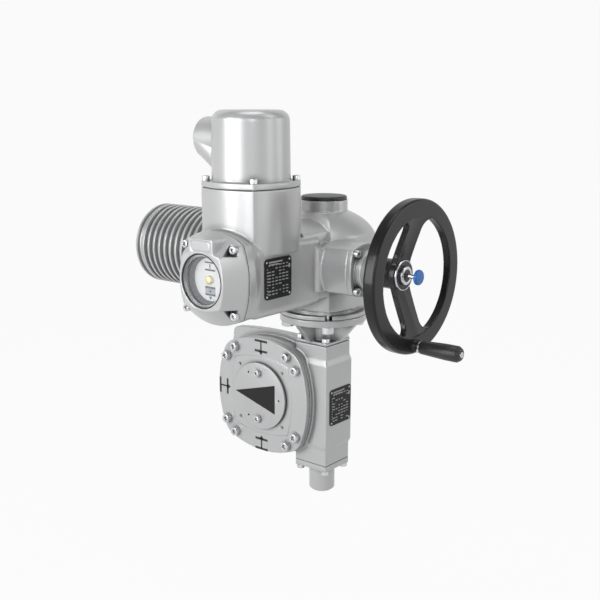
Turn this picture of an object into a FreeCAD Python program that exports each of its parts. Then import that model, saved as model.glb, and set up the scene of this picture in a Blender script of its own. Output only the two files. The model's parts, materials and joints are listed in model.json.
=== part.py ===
# Multi-turn actuator on a part-turn worm gearbox, in millimetres.
# The origin is the centre of the gearbox's valve flange, on its mounting face.
# +Y points into the valve, +X to the handwheel and +Z up along the worm shaft.

import FreeCAD, Part
import Sketcher
import math
import os
import time

DOC = FreeCAD.newDocument("MultiTurnActuator")
SHEET = DOC.addObject("Spreadsheet::Sheet", "Sizes")
VEC = FreeCAD.Vector
ROOT_HALF = math.sqrt(0.5)

DRIVING = {
    # places of the main axes and planes
    "gear_centres": 80.0,
    "drive_centres": 40.0,
    "axis_setback": 48.0,
    "flange_height": 132.0,
    "shaft_rise": 78.0,
    "control_shift": 2.0,
    "control_rise": 80.0,
    # play between pieces
    "fit_gap": 0.05,
    "run_gap": 0.3,
    "seat_gap": 0.3,
    "seal_gap": 1.0,
    "seam_wide": 1.0,
    "seam_deep": 1.0,
    # actuator casting: foot, barrel, shoulder and neck
    "foot_half": 55.5,
    "foot_corner": 44.2,
    "foot_top": 44.0,
    "barrel_half": 61.0,
    "barrel_corner": 52.0,
    "barrel_base": 54.0,
    "barrel_top": 115.0,
    "shoulder_half": 43.5,
    "shoulder_corner": 35.0,
    "shoulder_top": 139.0,
    "neck_radius": 33.5,
    "neck_root": 146.0,
    "neck_top": 162.1,
    "cavity_radius": 46.0,
    "cavity_top": 112.0,
    # arms on the handwheel side and on the motor side
    "arm_half": 36.0,
    "arm_corner": 29.5,
    "arm_reach": 96.0,
    "motor_arm_radius": 50.0,
    "motor_flange_radius": 60.0,
    "motor_flange_depth": 12.0,
    "motor_reach": 104.0,
    "shaft_bore": 21.0,
    # control compartment and terminal compartment
    "hood_half": 49.4,
    "hood_rise": 60.0,
    "hood_corner": 45.5,
    "hood_front": 100.0,
    "box_half": 50.0,
    "box_floor": 27.7,
    "box_roof": 124.0,
    "box_edge": 30.0,
    "box_round": 12.0,
    "cover_step": 65.5,
    "rim_deep": 12.0,
    "flare_deep": 13.0,
    "control_half": 56.0,
    "control_rise_half": 60.0,
    "control_corner": 46.5,
    "rim_round": 4.5,
    "control_bore": 40.0,
    "control_depth": 128.0,
    "terminal_out": 149.5,
    "terminal_half": 56.0,
    "terminal_corner": 45.2,
    "terminal_base": 108.0,
    "terminal_seam": 190.0,
    "terminal_bore": 44.0,
    "terminal_depth": 60.0,
    "wire_hole": 12.0,
    "rib_low": 47.0,
    "rib_high": 106.0,
    "rib_width": 6.0,
    "rib_proud": 2.5,
    # output flange, ISO 5210 F10
    "flange_radius": 62.5,
    "rim_thick": 6.0,
    "ledge_half": 53.0,
    "ledge_corner": 42.0,
    "flange_thick": 12.0,
    "flange_bolts": 36.0,
    "spigot_radius": 35.0,
    "spigot_high": 3.0,
    "flange_bore": 23.0,
    "bolt_radius": 5.0,
    "bolt_flats": 8.0,
    "bolt_head": 10.2,
    # gearbox input adapter
    "adapter_thick": 10.0,
    "adapter_drop": 38.7,
    "plate_thick": 4.8,
    "web_thick": 8.0,
    "web_foot": 34.0,
    "web_top": 60.0,
    "hub_radius": 21.5,
    "adapter_bore": 16.0,
    "corner_bolts": 22.6,
    "corner_bolt_radius": 3.0,
    "corner_bolt_flats": 5.2,
    "corner_bolt_head": 6.2,
    # gearbox column and end cover
    "column_half": 28.4,
    "column_wide": 30.6,
    "column_edge": 2.0,
    "column_drop": 180.0,
    "belt_high": 60.0,
    "belt_low": 63.0,
    "belt_run": 8.0,
    "belt_low_run": 5.0,
    "worm_bore": 20.5,
    "end_plate": 9.0,
    "end_tube": 19.0,
    "end_length": 48.0,
    "end_chamfer": 3.0,
    # gearbox wheel housing and cover
    "case_half": 91.6,
    "case_corner": 86.0,
    "case_front": 60.0,
    "case_back": 46.0,
    "valve_flange": 75.0,
    "valve_thick": 18.0,
    "case_edge": 9.0,
    "waist_half": 84.0,
    "waist_corner": 68.0,
    "waist_edge": 24.0,
    "cover_half": 87.0,
    "cover_corner": 70.0,
    "cover_edge": 32.0,
    "lip_back": 77.0,
    "cover_back": 85.0,
    "gear_depth": 94.0,
    "wheel_chamber": 71.5,
    "wheel_back": 32.0,
    "raised_half": 59.0,
    "raised_corner": 51.0,
    "raised_high": 1.0,
    "bush_radius": 41.0,
    "journal_radius": 38.0,
    "cover_bolt_near": 50.3,
    "cover_bolt_far": 67.4,
    "m8_radius": 4.0,
    "m8_head": 6.5,
    "m8_high": 8.0,
    "m6_radius": 3.0,
    "m6_head": 5.0,
    "m6_high": 6.0,
    "socket_share": 0.5,
    # valve flange, ISO 5211 F12, and stem bore
    "valve_bolts": 44.194,
    "valve_bolt_radius": 6.0,
    "valve_bolt_depth": 20.0,
    "stem_radius": 18.0,
    "coupling_radius": 25.0,
    "key_width": 10.0,
    "key_depth": 3.3,
    # gears
    "worm_module": 2.5,
    "wheel_width": 26.0,
    "drive_module": 2.0,
    "drive_width": 18.0,
    "worm_shaft": 12.5,
    "hollow_radius": 22.0,
    "drive_shaft": 8.0,
    # pointer disc
    "pointer_radius": 50.5,
    "pointer_thick": 4.0,
    "pointer_bolts": 35.4,
    "mark_thick": 0.6,
    "mark_tip": 46.0,
    "mark_tail": 31.5,
    "mark_half": 21.8,
    "gauge_hole": 1.5,
    "gauge_ring": 39.0,
    "pin_spread": 41.5,
    "pin_radius": 2.0,
    # motor
    "motor_radius": 61.0,
    "fin_root": 55.0,
    "fin_pitch": 11.8,
    "fin_thick": 4.2,
    "fin_count": 14,
    "end_cover_thick": 16.0,
    "stator_radius": 42.0,
    "rotor_radius": 31.0,
    "stator_length": 110.0,
    # control cover, window and dial
    "cover_rim": 4.0,
    "cover_high": 28.5,
    "face_half": 37.5,
    "face_corner": 31.5,
    "badge_half": 21.0,
    "badge_foot": 26.0,
    "badge_top": 53.0,
    "badge_base": 20.0,
    "control_bolts": 41.25,
    "pocket_floor": 10.0,
    "window_radius": 34.5,
    "glass_radius": 32.0,
    "glass_thick": 4.0,
    "glass_back": 19.0,
    "ring_bore": 29.5,
    "dial_radius": 27.5,
    "dial_back": 10.5,
    "dial_thick": 1.5,
    "knob_radius": 5.5,
    "knob_high": 5.0,
    "dial_shaft": 3.0,
    # terminal cover
    "lid_flange": 8.3,
    "lid_radius": 50.75,
    "lid_top_radius": 49.5,
    "lid_high": 96.8,
    "lid_edge": 14.0,
    "lid_wall": 4.5,
    "lid_bolts": 41.0,
    "entry_radius": 27.6,
    "entry_high": 60.0,
    "entry_reach": 77.2,
    "chute_run": 38.0,
    "entry_thread": 16.0,
    "plug_hex": 17.0,
    # stem cap
    "cap_radius": 32.35,
    "cap_thick": 5.5,
    "neck_bore": 27.0,
    # handwheel, crank grip and push button
    "wheel_radius": 100.0,
    "wheel_gap": 88.0,
    "rim_depth": 17.0,
    "rim_plate": 11.0,
    "rim_skirt": 94.0,
    "rim_inner": 78.0,
    "rim_edge": 2.0,
    "web_rim_front": 1.0,
    "web_rim_back": 10.0,
    "web_hub_front": 23.0,
    "web_wall": 9.2,
    "wheel_hub": 22.5,
    "hub_boss": 20.0,
    "hub_clear": 2.0,
    "spoke_half": 16.5,
    "window_corner": 12.0,
    "groove_wide": 3.0,
    "groove_deep": 1.2,
    "hub_ring": 20.5,
    "hub_ring_thick": 2.2,
    "hub_ring_wall": 2.0,
    "washer_thick": 1.5,
    "nut_radius": 12.5,
    "nut_thick": 6.0,
    "hand_shaft": 8.0,
    "rod_radius": 2.8,
    "button_radius": 10.0,
    "button_thick": 5.5,
    "button_proud": 3.0,
    "grip_drop": 91.9,
    "grip_side": 4.8,
    "grip_base": 9.0,
    "grip_tip": 10.6,
    "grip_length": 58.0,
    "grip_pin": 4.0,
    "ferrule_radius": 8.5,
    "ferrule_length": 5.0,
    "bearing_plate": 7.0,
    "bearing_boss": 29.0,
    "bearing_reach": 21.0,
    "arm_bolts": 25.0,
    # nameplates
    "plate_size": 52.0,
    "plate_step": 6.5,
    "tag_width": 50.0,
    "tag_high": 54.0,
    "tag_shift": 2.4,
    "tag_rise": 4.0,
    "sheet_metal": 0.8,
    "rivet_radius": 1.6,
}


class Size:
    # A number together with the sheet expression that gives it.
    def __init__(self, value, text):
        self.value = float(value)
        self.text = text

    def __add__(self, other):
        other = size(other)
        return Size(self.value + other.value, f"({self.text} + {other.text})")

    def __sub__(self, other):
        other = size(other)
        return Size(self.value - other.value, f"({self.text} - {other.text})")

    def __mul__(self, other):
        other = size(other)
        return Size(self.value * other.value, f"({self.text} * {other.text})")

    def __truediv__(self, other):
        other = size(other)
        return Size(self.value / other.value, f"({self.text} / {other.text})")

    def __radd__(self, other):
        return size(other) + self

    def __rsub__(self, other):
        return size(other) - self

    def __rmul__(self, other):
        return size(other) * self

    def __neg__(self):
        return Size(-self.value, f"(-1 * {self.text})")


def size(value):
    if isinstance(value, Size):
        return value
    return Size(value, f"({float(value):.9g})")


class Sizes:
    # The sheet's cells by name.
    pass


def fill_sheet():
    sizes = Sizes()
    for row, (name, value) in enumerate(DRIVING.items(), start=1):
        SHEET.set(f"A{row}", name)
        SHEET.set(f"B{row}", str(value))
        SHEET.setAlias(f"B{row}", name)
        setattr(sizes, name, Size(value, f"Sizes.{name}"))
    DOC.recompute()
    return sizes


D = fill_sheet()

# Main axes in the part's own frame
AXIS_X = D.gear_centres
AXIS_Y = -D.axis_setback
SEAM_Z = D.flange_height
SHAFT_Y = AXIS_Y - D.drive_centres
SHAFT_Z = SEAM_Z + D.shaft_rise
CONTROL_X = AXIS_X - D.control_shift
CONTROL_FRONT = D.terminal_out + D.cover_step
RIM_BACK = CONTROL_FRONT - D.rim_deep
BOX_FRONT = RIM_BACK - D.flare_deep
FIN_COUNT = int(DRIVING["fin_count"])
MOTOR_LENGTH = D.fin_pitch * FIN_COUNT + D.fin_thick
WHEEL_FRONT = D.arm_reach + D.wheel_gap

# Turns that point a piece's own +Z along a main direction
UPRIGHT = FreeCAD.Rotation()
TO_RIGHT = FreeCAD.Rotation(VEC(0, 1, 0), 90)
TO_LEFT = FreeCAD.Rotation(VEC(0, 1, 0), -90)
TO_FRONT = FreeCAD.Rotation(VEC(1, 0, 0), 90)

SUBPARTS = []


def bind(thing, path, value):
    thing.setExpression(path, size(value).text)


def place(thing, x=0, y=0, z=0, turn=UPRIGHT):
    thing.Placement = FreeCAD.Placement(VEC(), turn)
    bind(thing, "Placement.Base.x", x)
    bind(thing, "Placement.Base.y", y)
    bind(thing, "Placement.Base.z", z)


def keep(thing, label):
    thing.Label = label
    SUBPARTS.append(thing)
    return thing


class Sketch:
    # A sketch on one of a body's own origin planes, every point bound to the sheet.
    def __init__(self, body, role, offset=0):
        self.body = body
        self.sheet = body.newObject("Sketcher::SketchObject", body.Name + "_sketch")
        plane = [f for f in body.Origin.OriginFeatures if f.Role == role][0]
        self.sheet.AttachmentSupport = (plane, [""])
        self.sheet.MapMode = "FlatFace"
        bind(self.sheet, "AttachmentOffset.Base.z", offset)
        self.names = 0

    def rule(self, kind, *where, value=None):
        if value is None:
            self.sheet.addConstraint(Sketcher.Constraint(kind, *where))
            return
        value = size(value)
        index = self.sheet.addConstraint(Sketcher.Constraint(kind, *where, value.value))
        self.names += 1
        name = f"rule{self.names}"
        self.sheet.renameConstraint(index, name)
        self.sheet.setExpression("Constraints." + name, value.text)

    def pin(self, edge, end, x, y):
        for kind, axis, value in (("DistanceX", -2, x), ("DistanceY", -1, y)):
            if size(value).value == 0:
                self.rule("PointOnObject", edge, end, axis)
            else:
                self.rule(kind, -1, 1, edge, end, value=value)

    def polygon(self, points):
        first = self.sheet.GeometryCount
        flat = [VEC(size(x).value, size(y).value, 0) for x, y in points]
        count = len(points)
        for i in range(count):
            self.sheet.addGeometry(Part.LineSegment(flat[i], flat[(i + 1) % count]), False)
        for i in range(count):
            self.rule("Coincident", first + i, 2, first + (i + 1) % count, 1)
        for i, (x, y) in enumerate(points):
            self.pin(first + i, 1, x, y)
        return self

    def rectangle(self, x, y, half_x, half_y):
        return self.polygon([(x - half_x, y - half_y), (x + half_x, y - half_y),
                             (x + half_x, y + half_y), (x - half_x, y + half_y)])

    def circle(self, x, y, radius):
        centre = VEC(size(x).value, size(y).value, 0)
        round_edge = Part.Circle(centre, VEC(0, 0, 1), size(radius).value)
        edge = self.sheet.addGeometry(round_edge, False)
        self.pin(edge, 3, x, y)
        self.rule("Radius", edge, value=radius)
        return self

    def circles(self, spots, radius):
        for x, y in spots:
            self.circle(x, y, radius)
        return self

    def bulged(self, x, y, half_x, half_y, corner):
        # A square whose sides are arcs that meet in a crease at each corner.
        first = self.sheet.GeometryCount
        spots = [(1, -1), (1, 1), (-1, 1), (-1, -1)]
        crowns = [(half_x, 0), (0, half_y), (-half_x, 0), (0, -half_y)]
        corners = [(x + corner * u, y + corner * v) for u, v in spots]
        for i in range(4):
            start, end = corners[i], corners[(i + 1) % 4]
            crown = (x + crowns[i][0], y + crowns[i][1])
            flat = [VEC(size(p).value, size(q).value, 0) for p, q in (start, crown, end)]
            self.sheet.addGeometry(Part.Arc(*flat), False)
        for i in range(4):
            self.rule("Coincident", first + i, 2, first + (i + 1) % 4, 1)
            self.pin(first + i, 1, *corners[i])
        for i in range(4):
            rise = (half_x if i % 2 == 0 else half_y) - corner
            self.rule("Radius", first + i, value=(corner * corner + rise * rise) / (2 * rise))
        return self


    def outline(self, edges):
        for edge in edges:
            self.sheet.addGeometry(edge, False)
        return self

    def rounded(self, x, y, half_x, half_y, radius):
        # A rectangle with round corners, from the middle of its right side.
        x, y, half_x, half_y, radius = numbers(x, y, half_x, half_y, radius)
        bend = radius * (1 - math.sqrt(0.5))
        edges = []
        for u, v, turn in ((1, 1, 1), (-1, 1, -1), (-1, -1, 1), (1, -1, -1)):
            side = VEC(x + u * half_x, y + v * (half_y - radius), 0)
            top = VEC(x + u * (half_x - radius), y + v * half_y, 0)
            mid = VEC(x + u * (half_x - bend), y + v * (half_y - bend), 0)
            edges.append((side, mid, top) if turn > 0 else (top, mid, side))
        return self.outline(joined(edges))

    def cushion(self, x, y, half_x, half_y, corner, radius):
        # A square with bulging sides and round corners.
        x, y, half_x, half_y, corner, radius = numbers(x, y, half_x, half_y, corner, radius)
        side_turn = (corner ** 2 + (half_x - corner) ** 2) / (2 * (half_x - corner))
        top_turn = (corner ** 2 + (half_y - corner) ** 2) / (2 * (half_y - corner))
        side_middle = VEC(half_x - side_turn, 0, 0)
        top_middle = VEC(0, half_y - top_turn, 0)
        heart = crossing(side_middle, side_turn - radius, top_middle, top_turn - radius)
        side = side_middle + (heart - side_middle) * (side_turn / (side_turn - radius))
        top = top_middle + (heart - top_middle) * (top_turn / (top_turn - radius))
        out = (side - heart) + (top - heart)
        mid = heart + out * (radius / out.Length)
        edges = []
        for u, v, turn in ((1, 1, 1), (-1, 1, -1), (-1, -1, 1), (1, -1, -1)):
            spots = [VEC(x + u * p.x, y + v * p.y, 0) for p in (side, mid, top)]
            edges.append(tuple(spots if turn > 0 else reversed(spots)))
        crowns = [VEC(x, y + half_y, 0), VEC(x - half_x, y, 0), VEC(x, y - half_y, 0),
                  VEC(x + half_x, y, 0)]
        return self.outline(joined(edges, crowns))


def numbers(*values):
    return [size(value).value for value in values]


def joined(corners, crowns=None):
    # Corner arcs in order, each joined to the next by a line or by an arc over a crown.
    edges = []
    for i, (start, mid, end) in enumerate(corners):
        follow = corners[(i + 1) % 4][0]
        edges.append(Part.Arc(start, mid, end))
        edges.append(Part.Arc(end, crowns[i], follow) if crowns
                     else Part.LineSegment(end, follow))
    return edges


def crossing(first, first_reach, second, second_reach):
    # The upper right point at the two given distances from two points.
    gap = second - first
    apart = gap.Length
    shift = (apart ** 2 + first_reach ** 2 - second_reach ** 2) / (2 * apart)
    rise = math.sqrt(first_reach ** 2 - shift ** 2)
    foot = first + gap * (shift / apart)
    across = VEC(-gap.y, gap.x, 0) * (rise / apart)
    return max((foot + across, foot - across), key=lambda p: p.x + p.y)


def new_body(label):
    body = DOC.addObject("PartDesign::Body", label)
    return keep(body, label)


def feature(body, kind, sketch, **settings):
    thing = body.newObject("PartDesign::" + kind, f"{body.Name}_{kind}")
    thing.Profile = sketch.sheet
    for name, value in settings.items():
        if isinstance(value, (Size, float)):
            bind(thing, name, value)
        else:
            setattr(thing, name, value)
    DOC.recompute()
    return thing


def pad(body, sketch, length, backwards=False, centred=False):
    return feature(body, "Pad", sketch, Length=size(length), Reversed=backwards,
                   Midplane=centred)


def pocket(body, sketch, depth, backwards=False):
    return feature(body, "Pocket", sketch, Length=size(depth), Reversed=backwards)


def turned(body, sketch):
    # A revolve about the body's own Z axis, which is the sketch's vertical axis.
    return feature(body, "Revolution", sketch, ReferenceAxis=(sketch.sheet, ["V_Axis"]),
                   Angle=360.0)


def loft(body, sketches):
    thing = body.newObject("PartDesign::AdditiveLoft", body.Name + "_Loft")
    thing.Profile = sketches[0].sheet
    thing.Sections = [s.sheet for s in sketches[1:]]
    DOC.recompute()
    return thing


def ring_pattern(body, features, sketch, copies):
    thing = body.newObject("PartDesign::PolarPattern", body.Name + "_Ring")
    thing.Originals = features
    thing.Axis = (sketch.sheet, ["N_Axis"])
    thing.Angle = 360
    thing.Occurrences = copies
    body.Tip = thing
    DOC.recompute()
    return thing


def soften(body, radius, picks, kind="Fillet"):
    # A fillet or chamfer on the edges that the test picks.
    base = body.Tip
    names = [f"Edge{i + 1}" for i, edge in enumerate(base.Shape.Edges) if picks(edge)]
    thing = body.newObject("PartDesign::" + kind, f"{body.Name}_{kind}")
    thing.Base = (base, names)
    bind(thing, "Radius" if kind == "Fillet" else "Size", radius)
    DOC.recompute()
    return thing


def along(edge, axis):
    # True where a straight edge runs along the axis.
    if edge.Curve.TypeId != "Part::GeomLine":
        return False
    return abs(edge.Curve.Direction.dot(axis)) > 0.999


def near(value, target, room=0.05):
    return abs(value - size(target).value) < room


def middle(edge):
    return edge.valueAt((edge.FirstParameter + edge.LastParameter) / 2)


def mirrored_spots(u, v=None):
    v = u if v is None else v
    return [(u, v), (-u, v), (-u, -v), (u, -v)]


def disc_body(label, profile):
    body = new_body(label)
    turned(body, Sketch(body, "XZ_Plane").polygon(profile))
    return body


def group(label, master, spots, turn):
    # Separate copies of one fastener in one sub-part.
    links = []
    for x, y, z in spots:
        link = DOC.addObject("App::Link", label + "_copy")
        link.LinkedObject = master
        place(link, x, y, z, turn)
        links.append(link)
    thing = DOC.addObject("Part::Compound", label)
    thing.Links = links
    DOC.recompute()
    return keep(thing, label)


def socket_screw(label, radius, head, high, length):
    # Head on +Z with a hexagon socket, shank down to -length, seat at zero.
    body = DOC.addObject("PartDesign::Body", label)
    turned(body, Sketch(body, "XZ_Plane").polygon(
        [(0, -length), (radius, -length), (radius, 0), (head, 0), (head, high), (0, high)]))
    across = head * D.socket_share
    pocket(body, hexagon(Sketch(body, "XY_Plane", high), 0, 0, across), high * 0.6)
    return body


def hex_screw(label, radius, flats, high, length):
    # Hexagon head above zero, shank below.
    body = DOC.addObject("PartDesign::Body", label)
    turned(body, Sketch(body, "XZ_Plane").polygon(
        [(0, -length), (radius, -length), (radius, 0), (flats, 0), (flats, 0.6), (0, 0.6)]))
    pad(body, hexagon(Sketch(body, "XY_Plane", 0.4), 0, 0, flats), high - 0.4)
    return body


def hexagon(sketch, x, y, flats):
    # flats is the distance from the middle to a flat side
    reach = flats / math.cos(math.radians(30))
    corners = []
    for i in range(6):
        angle = math.radians(60 * i)
        corners.append((x + reach * round(math.cos(angle), 9),
                        y + reach * round(math.sin(angle), 9)))
    return sketch.polygon(corners)


def gear_blank(body, teeth, module, width, bore):
    # Straight-flanked teeth about the body's own Z axis, centred on it.
    pitch = module * (teeth / 2)
    tip = pitch + module
    root = pitch - module * 1.25
    blank = Sketch(body, "XY_Plane", -width / 2).circle(0, 0, tip).circle(0, 0, bore)
    pad(body, blank, width)
    step = 2 * math.pi / teeth
    corners = []
    for radius, turn in ((root, -0.16), (tip + 1, -0.41), (tip + 1, 0.41), (root, 0.16)):
        angle = turn * step
        corners.append((radius * math.cos(angle), radius * math.sin(angle)))
    gap = Sketch(body, "XY_Plane", width / 2).polygon(corners)
    return ring_pattern(body, [pocket(body, gap, width)], gap, teeth)


# Actuator casting, drawn about the hollow shaft's axis with zero at the flange seam
def gear_housing():
    body = new_body("gear_housing")
    place(body, AXIS_X, AXIS_Y, SEAM_Z)
    foot, foot_corner = D.foot_half, D.foot_corner
    barrel, barrel_corner = D.barrel_half, D.barrel_corner
    pad(body, Sketch(body, "XY_Plane", D.flange_thick).bulged(0, 0, foot, foot, foot_corner),
        D.foot_top - D.flange_thick)
    loft(body, [Sketch(body, "XY_Plane", D.foot_top).bulged(0, 0, foot, foot, foot_corner),
                Sketch(body, "XY_Plane", D.barrel_base).bulged(0, 0, barrel, barrel,
                                                               barrel_corner)])
    pad(body, Sketch(body, "XY_Plane", D.barrel_base).bulged(0, 0, barrel, barrel,
                                                            barrel_corner),
        D.barrel_top - D.barrel_base)
    loft(body, [Sketch(body, "XY_Plane", D.barrel_top).bulged(0, 0, barrel, barrel,
                                                              barrel_corner),
                Sketch(body, "XY_Plane", D.shoulder_top).bulged(
                    0, 0, D.shoulder_half, D.shoulder_half, D.shoulder_corner),
                Sketch(body, "XY_Plane", D.neck_root).bulged(
                    0, 0, D.neck_radius + 1, D.neck_radius + 1,
                    (D.neck_radius + 1) * 0.708)])
    pad(body, Sketch(body, "XY_Plane", D.shoulder_top).circle(0, 0, D.neck_radius),
        D.neck_top - D.shoulder_top)
    housing_arms(body)
    housing_compartments(body)
    housing_bores(body)
    return body


def housing_arms(body):
    out, up = -D.drive_centres, D.shaft_rise
    pad(body, Sketch(body, "YZ_Plane").bulged(out, up, D.arm_half, D.arm_half, D.arm_corner),
        D.arm_reach)
    pad(body, Sketch(body, "YZ_Plane").circle(out, up, D.motor_arm_radius), D.motor_reach,
        backwards=True)
    pad(body, Sketch(body, "YZ_Plane", D.motor_flange_depth - D.motor_reach)
        .circle(out, up, D.motor_flange_radius), D.motor_flange_depth, backwards=True)


def housing_compartments(body):
    across, up = -D.control_shift, D.control_rise
    pad(body, Sketch(body, "XZ_Plane", D.drive_centres)
        .bulged(across, up, D.hood_half, D.hood_rise, D.hood_corner),
        D.hood_front - D.drive_centres)
    middle_z = (D.box_roof + D.box_floor) / 2
    half_z = (D.box_roof - D.box_floor) / 2
    box = (across, middle_z, D.box_half, half_z, D.box_round)
    pad(body, Sketch(body, "XZ_Plane", D.hood_front - D.box_edge).rounded(*box),
        BOX_FRONT - D.hood_front + D.box_edge)
    rim = (across, up, D.control_half, D.control_rise_half, D.control_corner, D.rim_round)
    loft(body, [Sketch(body, "XZ_Plane", BOX_FRONT).rounded(*box),
                Sketch(body, "XZ_Plane", RIM_BACK).cushion(*rim)])
    pad(body, Sketch(body, "XZ_Plane", RIM_BACK).cushion(*rim), D.rim_deep)
    pad(body, Sketch(body, "XY_Plane", D.terminal_base)
        .bulged(across, -D.terminal_out, D.terminal_half, D.terminal_half, D.terminal_corner),
        D.terminal_seam - D.terminal_base)
    side = D.box_half - D.control_shift
    face = D.drive_centres + D.arm_corner - 2
    crown = D.drive_centres + D.arm_half
    proud, wide = D.rib_proud, D.rib_width
    pad(body, Sketch(body, "XY_Plane", D.rib_low).polygon(
        [(side - 2, -crown), (side, -crown - proud - 1.5), (side + wide - 1.5, -crown - proud),
         (side + wide + 1, 1 - crown), (side + wide + 1, -face), (side - 2, -face)]),
        D.rib_high - D.rib_low)


def housing_bores(body):
    across, up = -D.control_shift, D.control_rise
    pocket(body, Sketch(body, "XZ_Plane", CONTROL_FRONT).circle(across, up, D.control_bore),
           D.control_depth)
    pocket(body, Sketch(body, "XY_Plane", D.terminal_seam)
           .circle(across, -D.terminal_out, D.terminal_bore), D.terminal_depth)
    pocket(body, Sketch(body, "XY_Plane", D.terminal_seam)
           .circle(across, -D.terminal_out, D.wire_hole), D.terminal_depth + 15)
    pocket(body, Sketch(body, "XY_Plane", D.flange_thick).circle(0, 0, D.cavity_radius),
           D.cavity_top - D.flange_thick, backwards=True)
    pocket(body, Sketch(body, "XY_Plane", D.neck_top).circle(0, 0, D.neck_bore),
           D.neck_top - D.cavity_top + 5)
    pocket(body, Sketch(body, "YZ_Plane", D.arm_reach)
           .circle(-D.drive_centres, D.shaft_rise, D.shaft_bore), D.arm_reach + D.motor_reach)
    hole = D.m6_radius + D.fit_gap
    deep = D.m6_radius * 5
    pocket(body, Sketch(body, "XZ_Plane", CONTROL_FRONT).circles(
        [(across + u, up + v) for u, v in mirrored_spots(D.control_bolts)], hole), deep)
    pocket(body, Sketch(body, "XY_Plane", D.terminal_seam).circles(
        [(across + u, v - D.terminal_out) for u, v in mirrored_spots(D.lid_bolts)], hole), deep)
    pocket(body, Sketch(body, "YZ_Plane", D.arm_reach).circles(
        [(u - D.drive_centres, v + D.shaft_rise) for u, v in mirrored_spots(D.arm_bolts)],
        hole), deep)


# Output flange with open slots for the four bolts of the mounting circle
def output_flange():
    body = new_body("output_flange")
    place(body, AXIS_X, AXIS_Y, SEAM_Z)
    turned(body, Sketch(body, "XZ_Plane").polygon(
        [(D.flange_bore, -D.spigot_high), (D.spigot_radius, -D.spigot_high),
         (D.spigot_radius, 0), (D.flange_radius - D.seam_deep, 0),
         (D.flange_radius, D.seam_wide), (D.flange_radius, D.rim_thick),
         (D.cavity_radius, D.rim_thick), (D.cavity_radius, D.flange_thick),
         (D.flange_bore, D.flange_thick)]))
    shelf = Sketch(body, "XY_Plane", D.rim_thick)
    shelf.bulged(0, 0, D.ledge_half, D.ledge_half, D.ledge_corner)
    shelf.circle(0, 0, D.cavity_radius - 5)
    pad(body, shelf, D.flange_thick - D.rim_thick)
    hole = D.bolt_radius + D.fit_gap
    base = Sketch(body, "XY_Plane")
    base.circle(D.flange_bolts, D.flange_bolts, hole)
    drilled = pocket(body, base, D.flange_thick, backwards=True)
    reach = hole * ROOT_HALF
    far = D.flange_radius
    slot = Sketch(body, "XY_Plane").polygon(
        [(D.flange_bolts + reach, D.flange_bolts - reach), (far + reach, far - reach),
         (far - reach, far + reach), (D.flange_bolts - reach, D.flange_bolts + reach)])
    opened = pocket(body, slot, D.rim_thick, backwards=True)
    ring_pattern(body, [drilled, opened], slot, 4)
    return body


# Gearbox input adapter: bolting disc, hub, four webs and a square foot
def input_adapter():
    body = new_body("input_adapter")
    place(body, AXIS_X, AXIS_Y, SEAM_Z)
    recess = D.spigot_high + D.seat_gap
    turned(body, Sketch(body, "XZ_Plane").polygon(
        [(D.adapter_bore, -recess), (D.spigot_radius + D.fit_gap, -recess),
         (D.spigot_radius + D.fit_gap, 0), (D.flange_radius - D.seam_deep, 0),
         (D.flange_radius, -D.seam_wide), (D.flange_radius, -D.adapter_thick),
         (D.hub_radius, -D.adapter_thick),
         (D.hub_radius, -D.adapter_drop), (D.adapter_bore, -D.adapter_drop)]))
    side = Sketch(body, "XZ_Plane").polygon(
        [(D.hub_radius - 2, -D.adapter_thick), (D.web_top, -D.adapter_thick),
         (D.web_foot, -D.adapter_drop), (D.hub_radius - 2, -D.adapter_drop)])
    web = pad(body, side, D.web_thick, centred=True)
    flat = Sketch(body, "XY_Plane").circles(mirrored_spots(D.flange_bolts),
                                            D.bolt_radius + D.fit_gap)
    ring_pattern(body, [web], flat, 4)
    pocket(body, flat, D.adapter_thick)
    low = -D.adapter_drop - D.plate_thick
    for level, inset, thick in ((low, D.seam_deep, D.plate_thick),
                                (low + D.seam_wide, 0, D.plate_thick - D.seam_wide)):
        half = D.column_half - inset
        foot = Sketch(body, "XY_Plane", level).rounded(0, 0, half, half, D.column_edge)
        foot.circle(0, 0, D.adapter_bore)
        foot.circles(mirrored_spots(D.corner_bolts), D.corner_bolt_radius + D.fit_gap)
        pad(body, foot, thick)
    return body


# Gearbox casting: square worm column beside the wheel case
COLUMN_TOP = SEAM_Z - D.adapter_drop - D.plate_thick


def corner_edges(corner):
    # Picks the four creases of a bulged square drawn about the wheel's axis.
    return lambda e: (along(e, VEC(0, 1, 0)) and near(abs(middle(e).x), corner)
                      and near(abs(middle(e).z), corner))


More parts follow.
